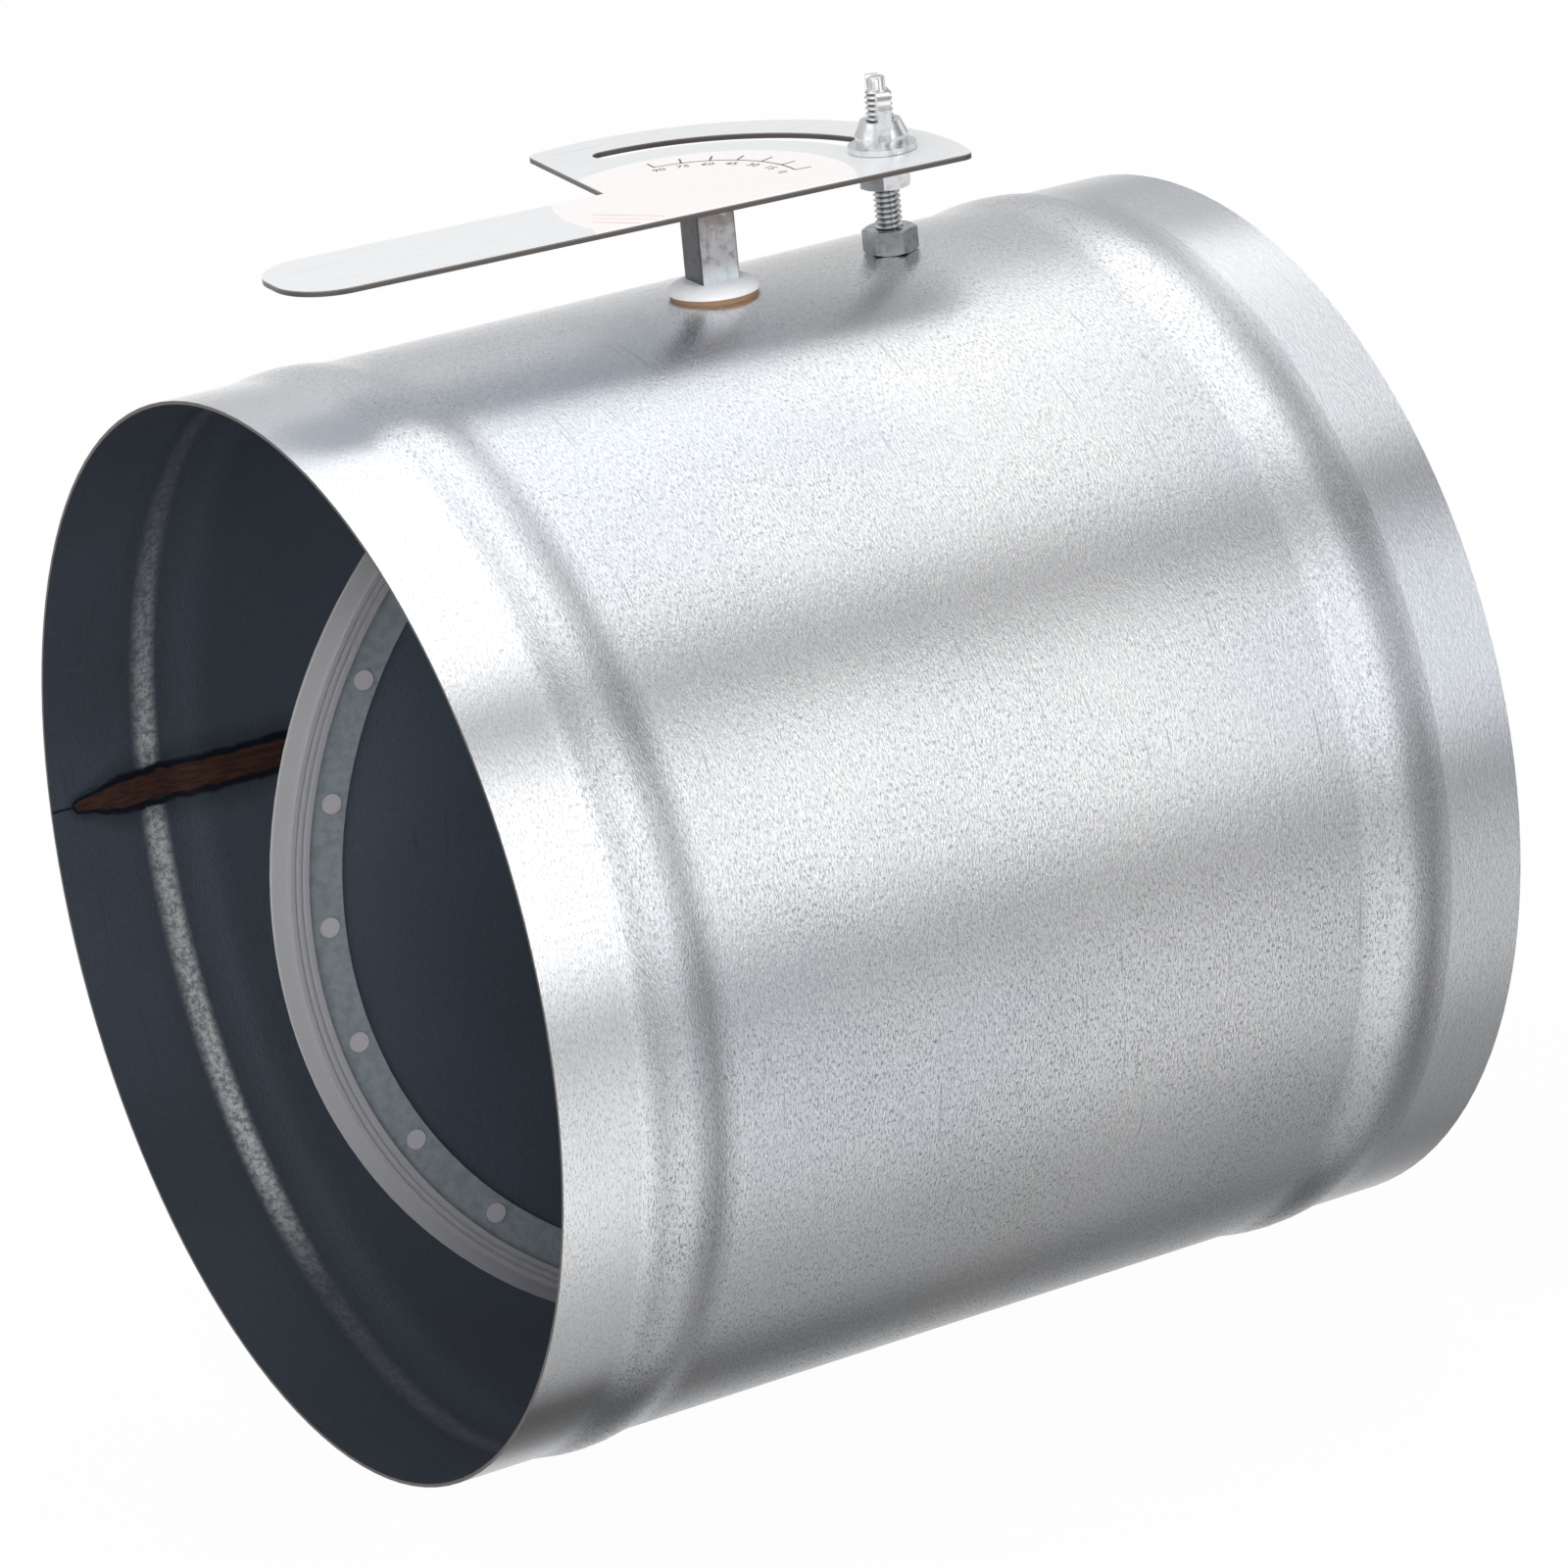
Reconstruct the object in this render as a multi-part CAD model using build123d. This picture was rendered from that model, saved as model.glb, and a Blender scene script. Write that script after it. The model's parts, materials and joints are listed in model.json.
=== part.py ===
from build123d import *
import os
from math import cos, radians, sin, sqrt

# Round volume control damper: a beaded sheet duct, a disc blade with a moulded silicone seal on
# two half shafts, and a quadrant handle that a wing nut clamps on a stud.
# Millimetres. The origin is the centre of the inlet end, +X runs along the duct and +Z up the
# shaft. The blade stands almost open, a few degrees out of line with the duct.

os.makedirs("parts", exist_ok=True)

# Duct
DUCT_OD = 250.0
SHEET = 0.8
BLADE_COVER = 0.3           # duct past the open blade at each end
SPIGOT_LENGTH = 19.0        # plain wall from each end to its bead
BEAD_WIDTH = 24.0
BEAD_HEIGHT = 1.3
SEAM_WIDTH = 7.0            # weld along the duct wall
SEAM_HEIGHT = 0.2           # how proud the weld stands inside
SEAM_END = 6.0              # unwelded seam at each rim

# Shafts and bushes
SHAFT_SIDE = 9.5
SHAFT_CORNER = 0.6
SHAFT_REACH = 58.0          # how far each half shaft runs in over the blade from the blade's edge
BUSH_SLEEVE_R = 7.5
BUSH_FLANGE_R = 10.5
BUSH_RIM = 0.9
BUSH_DOME = 2.6             # flange height at the middle
BUSH_CROWN_R = 6.9          # flat at the top of the dome
BUSH_BULGE = 0.25           # of the dome's side
BUSH_TAIL = 0.3             # sleeve past its retainer
GASKET_R = 10.0
GASKET_THICK = 0.9          # at the crown of the duct
RETAINER_R = 10.0
RETAINER_THICK = 1.6
STUB_R = 4.0                # turned end of the lower shaft
STUB_LENGTH = 5.5
STUB_CHAMFER = 0.6
STUB_GROOVE_R = 3.1
STUB_WASHER_R = 8.0
STUB_WASHER_THICK = 1.2
CLIP_R = 7.0
CLIP_BAND = 2.2
CLIP_THICK = 0.8
CLIP_MOUTH = 5.6
CLIP_PRONG = 3.0

# Blade and seal
BLADE_THICK = 1.0
BLADE_MARGIN = 6.7          # from the blade's edge out to the tip of the lip
SEAL_FLANGE_WIDTH = 10.0    # silicone over the face of the blade
SEAL_FLANGE_THICK = 1.2
SEAL_BAND_WIDTH = 4.6
SEAL_BAND_HALF = 3.0
SEAL_GROOVE_R = 0.45
SEAL_LIP_WIDTH = 3.5
SEAL_LIP_ROOT = 1.7
SEAL_LIP_TIP = 0.5
SEAL_COLLAR_R = 9.0         # silicone round each shaft
SEAL_COLLAR_LENGTH = 9.5
PLUG_R = 2.35
PLUG_PROUD = 0.35
PLUG_INSET = 6.2            # from the blade's edge in to the circle of plugs
PLUG_PITCH = 15.0           # degrees
RIVET_R = 2.4
RIVET_HEAD_R = 4.4
RIVET_HEAD = 1.9
RIVET_SETS = (14.0, 42.0)   # from the blade's edge in to each rivet

# Handle
PLATE_THICK = 1.3
PLATE_FRONT = -16.4
TONGUE_BACK = 14.8
TONGUE_REACH = 106.5
TONGUE_ROUND = 13.0
QUADRANT_R = 62.2
QUADRANT_SIDE = -18.0       # left side of the quadrant where the tongue joins it
QUADRANT_LEAN = 2.5         # degrees that this side leans in
PLATE_ROUND = 3.0
SLOT_R = 47.0               # from the shaft's axis to the stud's axis
SLOT_HALF = 3.45
SLOT_OVERRUN = 2.0          # degrees past each end of the travel
LABEL_R = 34.5
LABEL_THICK = 0.15
LABEL_MARGIN = 0.5
LABEL_FLAP = (-22.4, -35.0)  # where the label ends on the back and the front of the tongue
HANDLE_WELD = 2.5
HANDLE_WELD_LEAN = 43.0     # degrees
TRAVEL = 90.0               # blade travel from open to shut, degrees
BLADE_SET = 3.6             # how far from fully open the handle is clamped, degrees

# Stud and its nuts
STUD_R = 3.175              # quarter-inch, 20 threads to the inch
STUD_HEAD = 4.0
STUD_CHAMFER = 0.8
STUD_THREAD_TOP = 14.0      # thread above the plate
STUD_POINT_R = 1.9
STUD_POINT = 3.0
NUT_FLATS = 11.11
NUT_THICK = 5.56
NUT_CHAMFER = 0.8
STUD_NUT_TURN = 27.5        # degrees about the stud
SUPPORT_NUT_TURN = -4.0
SUPPORT_RISE = 15.3         # from the crown of the duct to the nut under the plate
WASHER_R = 7.9
WASHER_BORE_R = 3.55
WASHER_THICK = 1.3
SUPPORT_WASHER_THICK = 1.6
WING_HUB_R = 6.2
WING_HUB_FOOT_R = 5.8
WING_HUB_TOP_R = 4.7
WING_HUB_HEIGHT = 5.6
WING_HEIGHT = 14.0
WING_EAR_R = 2.7
WING_SPAN = 24.6
WING_THICK = 3.0
WING_BELT_Z = 2.3           # widest part of the hub
WING_ROOT_R = 1.45          # rounding where the wings leave the hub
WING_HEEL_Z = 1.65          # height of the lower rounding
WING_NECK_Z = 4.1           # height of the upper rounding
WING_ANGLE = -114.0         # where the wings point when clamped, degrees

# Clearances
RUNNING_GAP = 0.05          # turning fit of the bushes and the wing nut
FACE_GAP = 0.1              # between faces that slide on each other
CURVE_GAP = 0.3             # between curved faces that pass each other
BOLT_GAP = 0.15             # round a bolt in its hole
CLAMPED_GAP = 0.02          # round what is fixed in its hole


def wall_z(radius, reach):
    """Height of a round wall of this radius, seen this far to the side of its crown."""
    return sqrt(radius**2 - reach**2)


# Worked out
OUTER_R = DUCT_OD / 2
INNER_R = OUTER_R - SHEET
RETAINER_Z = wall_z(INNER_R, RETAINER_R) - CURVE_GAP - RETAINER_THICK
BUSH_FOOT = RETAINER_Z - BUSH_TAIL
SEAL_R = INNER_R - SEAM_HEIGHT - CURVE_GAP
BLADE_R = SEAL_R - BLADE_MARGIN
DUCT_LENGTH = 2 * (SEAL_R + BLADE_COVER)
SHAFT_X = DUCT_LENGTH / 2
STUD_X = SHAFT_X + SLOT_R
PLUG_CIRCLE_R = BLADE_R - PLUG_INSET
GASKET_TOP = OUTER_R + GASKET_THICK
BUSH_BASE = GASKET_TOP + RUNNING_GAP
BUSH_TOP = BUSH_BASE + BUSH_DOME
SUPPORT_NUT_Z = OUTER_R + SUPPORT_RISE
SUPPORT_WASHER_Z = SUPPORT_NUT_Z + NUT_THICK
PLATE_Z = SUPPORT_WASHER_Z + SUPPORT_WASHER_THICK + FACE_GAP
PLATE_TOP = PLATE_Z + PLATE_THICK
CLAMP_WASHER_Z = PLATE_TOP + FACE_GAP
WING_Z = CLAMP_WASHER_Z + WASHER_THICK
BOTTOM = (Align.CENTER, Align.CENTER, Align.MIN)


def rod(x, z, radius, height):
    return Pos(x, 0, z) * Cylinder(radius, height, align=BOTTOM)


def ring(x, z, outer, inner, height):
    return rod(x, z, outer, height) - rod(x, z, inner, height)


def square_bar(side, z, height, corner=SHAFT_CORNER):
    return Pos(SHAFT_X, 0, z) * extrude(RectangleRounded(side, side, corner), height)


def underside(part):
    """The same piece at the bottom of the duct."""
    return mirror(part, about=Plane.XY)


# Duct

def wall_line(radius):
    """One surface of the wall from end to end, closed down to the axis: each bead is an
    S-shaped rise and fall of four tangent arcs."""
    quarter, mid = BEAD_WIDTH / 4, BEAD_HEIGHT / 2
    heights = (radius + mid, radius + BEAD_HEIGHT, radius + mid, radius)
    line, start = [], (0, radius)
    for foot in (SPIGOT_LENGTH, DUCT_LENGTH - SPIGOT_LENGTH - BEAD_WIDTH):
        line.append(Line(start, (foot, radius)))
        tangent = (1, 0)
        for step, height in enumerate(heights, 1):
            start = (foot + step * quarter, height)
            line.append(TangentArc(line[-1] @ 1, start, tangent=tangent))
            tangent = line[-1] % 1
    line.append(Polyline(start, (DUCT_LENGTH, radius), (DUCT_LENGTH, 0), (0, 0), (0, radius)))
    return line


def turned(radius):
    """The solid inside this surface of the wall."""
    return revolve(make_face(Curve() + wall_line(radius)), axis=Axis.X)


def duct_shell():
    bush_hole = rod(SHAFT_X, 0, BUSH_SLEEVE_R + RUNNING_GAP, DUCT_OD)
    stud_hole = rod(STUD_X, 0, STUD_R + BOLT_GAP, DUCT_OD)
    holes = bush_hole + underside(bush_hole) + stud_hole
    return turned(OUTER_R) - turned(INNER_R) - holes


def seam_weld():
    """A thin run of weld that follows the inside of the wall, beads and all."""
    run = SlotOverall(DUCT_LENGTH - 2 * SEAM_END, SEAM_WIDTH)
    side = Plane(origin=(DUCT_LENGTH / 2, 0, 0), x_dir=(1, 0, 0), z_dir=(0, 1, 0))
    skin = turned(INNER_R) - turned(INNER_R - SEAM_HEIGHT)
    return skin & extrude(side * run, DUCT_OD)


# Bushes

def gasket():
    disc = ring(SHAFT_X, 0, GASKET_R, BUSH_SLEEVE_R + BOLT_GAP, GASKET_TOP)
    duct = Cylinder(OUTER_R, DUCT_LENGTH, rotation=(0, 90, 0))
    return disc - Pos(SHAFT_X, 0, 0) * duct


def bush():
    """A domed flange outside the duct on a sleeve that turns in the wall."""
    rim = BUSH_BASE + BUSH_RIM
    with BuildPart() as part:
        with BuildSketch(Plane.XZ):
            with BuildLine():
                Polyline((0, BUSH_FOOT), (BUSH_SLEEVE_R, BUSH_FOOT), (BUSH_SLEEVE_R, BUSH_BASE),
                         (BUSH_FLANGE_R, BUSH_BASE), (BUSH_FLANGE_R, rim))
                SagittaArc((BUSH_FLANGE_R, rim), (BUSH_CROWN_R, BUSH_TOP), -BUSH_BULGE)
                Polyline((BUSH_CROWN_R, BUSH_TOP), (0, BUSH_TOP), (0, BUSH_FOOT))
            make_face()
        revolve(axis=Axis.Z)
    square = square_bar(SHAFT_SIDE + 2 * CLAMPED_GAP, BUSH_FOOT, BUSH_TOP - BUSH_FOOT)
    return Pos(SHAFT_X, 0, 0) * part.part - square


def retainer():
    """A push-on ring that holds the bush from inside."""
    return ring(SHAFT_X, RETAINER_Z, RETAINER_R, BUSH_SLEEVE_R, RETAINER_THICK)


# Blade

def across(x, z, radius, length):
    """A round bar along Y, centred on the blade."""
    return Pos(x, 0, z) * Cylinder(radius, length, rotation=(90, 0, 0))


def plug_places():
    """Centres of the seal's plugs, all round the blade except at the shafts."""
    for step in range(int(360 / PLUG_PITCH)):
        angle = radians(step * PLUG_PITCH)
        x = PLUG_CIRCLE_R * cos(angle)
        if abs(x) > SEAL_COLLAR_R + PLUG_R:
            yield SHAFT_X + x, PLUG_CIRCLE_R * sin(angle)


def blade_disc():
    disc = across(SHAFT_X, 0, BLADE_R, BLADE_THICK)
    for x, z in plug_places():
        disc -= across(x, z, PLUG_R, BLADE_THICK)
    for inset in RIVET_SETS:
        for z in (BLADE_R - inset, inset - BLADE_R):
            disc -= across(SHAFT_X, z, RIVET_R, BLADE_THICK)
    return disc


def seal_section():
    """Half of the ring's section: flange on the blade, grooved band and tapered lip."""
    flange_top = BLADE_THICK / 2 + SEAL_FLANGE_THICK
    flange_in = BLADE_R - SEAL_FLANGE_WIDTH
    band_in = SEAL_R - SEAL_LIP_WIDTH - SEAL_BAND_WIDTH
    band_out = SEAL_R - SEAL_LIP_WIDTH
    half = Polygon(
        (flange_in, BLADE_THICK / 2), (flange_in, flange_top), (band_in, flange_top),
        (band_in, SEAL_BAND_HALF), (band_out, SEAL_BAND_HALF), (band_out, SEAL_LIP_ROOT),
        (SEAL_R, SEAL_LIP_TIP), (SEAL_R, 0), (BLADE_R, 0), (BLADE_R, BLADE_THICK / 2),
        align=None)
    for third in (1, 2):
        half -= Pos(band_in + third * SEAL_BAND_WIDTH / 3, SEAL_BAND_HALF) * Circle(SEAL_GROOVE_R)
    return half


def blade_seal():
    half = seal_section()
    section = half + mirror(half, about=Plane.XZ)
    seal = Pos(SHAFT_X, 0, 0) * revolve(section, axis=Axis.Y)
    proud = BLADE_THICK + 2 * (SEAL_FLANGE_THICK + PLUG_PROUD)
    for x, z in plug_places():
        seal += across(x, z, PLUG_R, proud)
    collar_top = BUSH_FOOT - FACE_GAP
    collar = rod(SHAFT_X, collar_top - SEAL_COLLAR_LENGTH, SEAL_COLLAR_R, SEAL_COLLAR_LENGTH)
    room = rod(SHAFT_X, collar_top, RETAINER_R + CURVE_GAP, OUTER_R - collar_top)
    shaft = square_bar(SHAFT_SIDE, 0, DUCT_OD)
    for flip in (lambda part: part, underside):
        seal += flip(collar)
        seal -= flip(room) + flip(shaft)
    return seal - across(SHAFT_X, 0, BLADE_R, BLADE_THICK)


def fork(z_in):
    """The slot that a half shaft needs to straddle the blade, and its rivet holes."""
    cut = Pos(SHAFT_X, 0, z_in) * Box(2 * SHAFT_SIDE, BLADE_THICK, BLADE_R - z_in, align=BOTTOM)
    for inset in RIVET_SETS:
        cut += across(SHAFT_X, BLADE_R - inset, RIVET_R, 2 * SHAFT_SIDE)
    return cut


def upper_shaft():
    z_in = BLADE_R - SHAFT_REACH
    return square_bar(SHAFT_SIDE, z_in, PLATE_Z - z_in) - fork(z_in)


def lower_shaft():
    """Square like the upper one, with a turned and grooved end outside its bush."""
    z_in = BLADE_R - SHAFT_REACH
    bar = square_bar(SHAFT_SIDE, z_in, BUSH_TOP - z_in) - fork(z_in)
    stub = rod(SHAFT_X, BUSH_TOP, STUB_R, STUB_LENGTH)
    stub = chamfer(stub.edges().sort_by(Axis.Z)[-1], STUB_CHAMFER)
    clip_z = BUSH_TOP + STUB_WASHER_THICK + FACE_GAP
    groove = ring(SHAFT_X, clip_z, STUB_R, STUB_GROOVE_R, CLIP_THICK)
    return underside(bar + stub - groove)


def rivets():
    """Dome-headed rivets through a half shaft and the blade."""
    side = SHAFT_SIDE / 2
    tip = side + RIVET_HEAD
    with BuildPart() as rivet:
        with BuildSketch(Plane.XY):
            with BuildLine():
                Line((0, -tip), (0, tip))
                for end in (1, -1):
                    TangentArc((0, end * tip), (RIVET_HEAD_R, end * side), tangent=(1, 0))
                    Line((RIVET_HEAD_R, end * side), (RIVET_R, end * side))
                Line((RIVET_R, side), (RIVET_R, -side))
            make_face()
        revolve(axis=Axis.Y)
    return Compound([Pos(SHAFT_X, 0, BLADE_R - inset) * rivet.part.solid() for inset in RIVET_SETS])


def lower_washer():
    z = BUSH_TOP
    return underside(ring(SHAFT_X, z, STUB_WASHER_R, STUB_R + BOLT_GAP, STUB_WASHER_THICK))


def lower_clip():
    """An E-shaped clip: an open band with three prongs that reach into the groove."""
    band = Circle(CLIP_R) - Circle(CLIP_R - CLIP_BAND)
    root = STUB_GROOVE_R + CLAMPED_GAP
    prong = Pos(root, 0) * Rectangle(CLIP_R - CLIP_BAND / 2 - root, CLIP_PRONG,
                                     align=(Align.MIN, Align.CENTER))
    for angle in (0, 90, 270):
        band += Rot(0, 0, angle) * prong
    band -= Pos(-CLIP_R, 0) * Rectangle(2 * CLIP_R, CLIP_MOUTH)
    z = BUSH_TOP + STUB_WASHER_THICK + FACE_GAP
    return underside(Pos(SHAFT_X, 0, z) * extrude(band, CLIP_THICK))


# Handle

def plate_outline():
    """Quadrant and tongue in plan, about the shaft's axis."""
    rise = 2 * QUADRANT_R
    lean = rise * sin(radians(QUADRANT_LEAN))
    region = Polygon((QUADRANT_SIDE, PLATE_FRONT), (rise, PLATE_FRONT), (rise, rise),
                     (QUADRANT_SIDE + lean, TONGUE_BACK + rise), (QUADRANT_SIDE, TONGUE_BACK),
                     align=None)
    quadrant = Circle(QUADRANT_R) & region
    corners = quadrant.vertices().filter_by(lambda v: v.X > 0 or v.Y > TONGUE_BACK + PLATE_ROUND)
    quadrant = fillet(corners, PLATE_ROUND)
    tongue = Pos(-TONGUE_REACH, PLATE_FRONT) * Rectangle(
        TONGUE_REACH, TONGUE_BACK - PLATE_FRONT, align=(Align.MIN, Align.MIN))
    tongue = fillet(tongue.vertices().group_by(Axis.X)[0], TONGUE_ROUND)
    return quadrant + tongue


def handle_plate():
    start = -SLOT_OVERRUN
    slot = SlotArc(CenterArc((0, 0), SLOT_R, start, TRAVEL + 2 * SLOT_OVERRUN), 2 * SLOT_HALF)
    return Pos(SHAFT_X, 0, PLATE_Z) * extrude(plate_outline() - slot, PLATE_THICK)


def scale_label():
    back_x, front_x = LABEL_FLAP
    flap = Polygon((0, PLATE_FRONT), (0, TONGUE_BACK), (back_x, TONGUE_BACK),
                   (front_x, PLATE_FRONT), align=None)
    sticker = offset(plate_outline(), -LABEL_MARGIN) & (Circle(LABEL_R) + flap)
    return Pos(SHAFT_X, 0, PLATE_TOP) * extrude(sticker, LABEL_THICK)


def handle_weld():
    """Fillet weld round the top of the shaft, under the plate."""
    root = Plane(origin=(SHAFT_X, 0, PLATE_Z), z_dir=(0, 0, -1))
    wide = RectangleRounded(SHAFT_SIDE + 2 * HANDLE_WELD, SHAFT_SIDE + 2 * HANDLE_WELD, HANDLE_WELD)
    fillet_weld = extrude(root * wide, HANDLE_WELD, taper=HANDLE_WELD_LEAN)
    return fillet_weld - square_bar(SHAFT_SIDE, 0, PLATE_Z)


# Stud and nuts

def hex_prism(z, height, chamfered, turn=0.0):
    """A hexagon with its corners turned off at the given ends."""
    hexagon = RegularPolygon(NUT_FLATS / 2, 6, major_radius=False, rotation=turn)
    flats = Pos(STUD_X, 0, z) * extrude(hexagon, height)
    corner_r = NUT_FLATS / sqrt(3)
    turned = rod(STUD_X, z, corner_r, height)
    ends = turned.edges().filter_by(GeomType.CIRCLE).group_by(Axis.Z)
    turned = chamfer([ends[i][0] for i in chamfered], 0.5 * NUT_CHAMFER, NUT_CHAMFER)
    return flats & turned


def nut(z, turn):
    solid = hex_prism(z, NUT_THICK, (0, -1), turn)
    return solid - rod(STUD_X, z, STUD_R + CLAMPED_GAP, NUT_THICK)


def bolt_seat():
    """Top of the inner washer, whose edges touch the curved wall."""
    return wall_z(INNER_R, WASHER_R)


def clamp_bolt():
    top = bolt_seat() - WASHER_THICK
    thread_top = PLATE_TOP + STUD_THREAD_TOP
    shank = rod(STUD_X, top, STUD_R, thread_top - top)
    shank = chamfer(shank.edges().sort_by(Axis.Z)[-1], STUD_CHAMFER)
    point = rod(STUD_X, thread_top, STUD_POINT_R, STUD_POINT)
    return hex_prism(top - STUD_HEAD, STUD_HEAD, (0,)) + shank + point


def washer(z, thick):
    return ring(STUD_X, z, WASHER_R, WASHER_BORE_R, thick)


def wing_nut():
    """A bellied hub with two rounded ears."""
    ear_x, ear_z = WING_SPAN / 2 - WING_EAR_R, WING_HEIGHT - WING_EAR_R
    profile = Polygon((0, 0), (WING_HUB_FOOT_R, 0), (WING_HUB_R, WING_BELT_Z),
                      (WING_HUB_TOP_R, WING_HUB_HEIGHT), (0, WING_HUB_HEIGHT), align=None)
    hub = revolve(Plane.XZ * profile, axis=Axis.Z)
    tip, root = Circle(WING_EAR_R), Circle(WING_ROOT_R)
    heel = Pos(WING_HUB_FOOT_R - WING_ROOT_R, WING_HEEL_Z) * root
    neck = Pos(WING_HUB_TOP_R - WING_ROOT_R, WING_NECK_Z) * root
    ear = make_hull((Pos(ear_x, ear_z) * tip + heel + neck).edges())
    wing = extrude(Plane.XZ * ear, WING_THICK / 2, both=True)
    body = hub + wing + mirror(wing, about=Plane.YZ)
    body -= Cylinder(STUD_R + RUNNING_GAP, 2 * WING_HEIGHT)
    return Pos(STUD_X, 0, WING_Z) * Rot(0, 0, WING_ANGLE) * body


def swung(part):
    """Turned about the shaft from fully open to where the handle is clamped."""
    return Pos(SHAFT_X, 0, 0) * Rot(0, 0, -BLADE_SET) * Pos(-SHAFT_X, 0, 0) * part


DUCT_PARTS = {
    "duct_shell": duct_shell(),
    "seam_weld": seam_weld(),
    "upper_gasket": gasket(),
    "lower_gasket": underside(gasket()),
    "clamp_bolt": clamp_bolt(),
    "bolt_washer": washer(bolt_seat() - WASHER_THICK, WASHER_THICK),
    "stud_nut": nut(OUTER_R, STUD_NUT_TURN),
    "support_nut": nut(SUPPORT_NUT_Z, SUPPORT_NUT_TURN),
    "support_washer": washer(SUPPORT_WASHER_Z, SUPPORT_WASHER_THICK),
    "clamp_washer": washer(CLAMP_WASHER_Z, WASHER_THICK),
    "wing_nut": wing_nut(),
}
BLADE_PARTS = {
    "upper_bush": bush(),
    "lower_bush": underside(bush()),
    "upper_retainer": retainer(),
    "lower_retainer": underside(retainer()),
    "blade_disc": blade_disc(),
    "blade_seal": blade_seal(),
    "upper_shaft": upper_shaft(),
    "lower_shaft": lower_shaft(),
    "upper_rivets": rivets(),
    "lower_rivets": underside(rivets()),
    "lower_washer": lower_washer(),
    "lower_clip": lower_clip(),
    "handle_plate": handle_plate(),
    "handle_weld": handle_weld(),
    "scale_label": scale_label(),
}

for name, part in DUCT_PARTS.items():
    export_step(part, f"parts/{name}.step")
for name, part in BLADE_PARTS.items():
    export_step(swung(part), f"parts/{name}.step")
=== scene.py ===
import json
import math

import bmesh
import bpy
from bpy.props import (
    FloatProperty,
    FloatVectorProperty,
    IntProperty,
    PointerProperty,
)
from mathutils import Matrix, Vector


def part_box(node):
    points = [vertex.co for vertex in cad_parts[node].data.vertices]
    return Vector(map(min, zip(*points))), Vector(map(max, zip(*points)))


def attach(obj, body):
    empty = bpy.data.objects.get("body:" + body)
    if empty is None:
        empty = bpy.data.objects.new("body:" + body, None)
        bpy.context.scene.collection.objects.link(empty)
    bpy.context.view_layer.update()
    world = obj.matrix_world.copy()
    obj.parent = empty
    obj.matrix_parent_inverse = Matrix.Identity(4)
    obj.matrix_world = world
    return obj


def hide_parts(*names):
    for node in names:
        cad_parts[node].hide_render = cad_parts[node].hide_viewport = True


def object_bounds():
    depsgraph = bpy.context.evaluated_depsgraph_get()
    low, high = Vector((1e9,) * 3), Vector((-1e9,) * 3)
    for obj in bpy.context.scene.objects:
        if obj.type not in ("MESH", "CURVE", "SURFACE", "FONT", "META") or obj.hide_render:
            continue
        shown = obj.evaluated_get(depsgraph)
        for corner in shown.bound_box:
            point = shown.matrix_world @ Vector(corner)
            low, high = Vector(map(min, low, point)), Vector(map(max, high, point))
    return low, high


bl_info = {
    "name": "Round duct damper dressing",
    "version": (1, 0, 0),
    "blender": (4, 5, 0),
    "location": "View3D > Sidebar > Damper",
    "description": "Finishes, printed scale, fasteners and studio for a round duct damper",
    "category": "Object",
}

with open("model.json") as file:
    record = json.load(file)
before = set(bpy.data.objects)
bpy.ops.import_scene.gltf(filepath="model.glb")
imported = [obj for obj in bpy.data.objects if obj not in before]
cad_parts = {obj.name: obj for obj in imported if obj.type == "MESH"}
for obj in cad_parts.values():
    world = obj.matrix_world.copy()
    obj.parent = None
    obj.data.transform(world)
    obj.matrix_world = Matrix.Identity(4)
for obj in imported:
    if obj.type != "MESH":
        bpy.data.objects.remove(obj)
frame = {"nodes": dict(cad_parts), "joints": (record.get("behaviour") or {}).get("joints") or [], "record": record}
CAD_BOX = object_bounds()
NODES = frame["nodes"]
JOINTS = {joint["name"]: joint for joint in frame["joints"]}
MOUNTS = {mount["name"]: mount for mount in frame["record"]["mounts"]}

MM = 0.001
SHAFT_X = JOINTS["blade_turn"]["pos_m"][0]
STUD_X = JOINTS["wing_nut_turn"]["pos_m"][0]
DUCT_R = MOUNTS["inlet_spigot"]["dims"]["r_mm"] * MM
DUCT_LENGTH = MOUNTS["outlet_spigot"]["pos_m"][0]
LABEL_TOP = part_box("scale_label")[1].z
BOLT_LOW, BOLT_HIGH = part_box("clamp_bolt")
HANDLE_SET = math.radians(-JOINTS["blade_turn"]["range_deg"][1])
SPIGOT = MOUNTS["inlet_spigot"]["dims"]["length_mm"] * MM

# A pair of values is where a soft change starts and where it ends.

# Duct: distances from its nearer end, then heights above its axis
ZINC_STARTS = (SPIGOT - 2 * MM, SPIGOT + 6 * MM)
ZINC_WORN = (0.2 * DUCT_R, -0.1 * DUCT_R)
# Painted light and shade inside: lighter further in from an end, darker lower down
INSIDE_LIT = (30 * MM, 100 * MM)
INSIDE_SHADED = (-20 * MM, -110 * MM)
# Where a painted highlight runs along the bead inside, standing for a reflection
GROOVE_STARTS = (SPIGOT + 3 * MM, SPIGOT + 7 * MM)
GROOVE_ENDS = (SPIGOT + 11.5 * MM, SPIGOT + 8.5 * MM)
GROOVE_TOP = (95 * MM, -10 * MM)
GROOVE_BOTTOM = (-112 * MM, -85 * MM)
# Where the inside turns into the outside, by the cosine between the normal and the radius
FACES_OUT = (-0.35, 0.35)
# Share of painted glints, bright specks, on dull sheet
FEW_GLINTS = 0.02

# Seam: from the duct's ends to the tint, half the tint's width, its taper and the joint's line
SEAM_INSET, SEAM_HALF, SEAM_TAPER = 5.0 * MM, 5.6 * MM, 16 * MM
SEAM_LINE = (0.35 * MM, 0.2 * MM)

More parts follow.
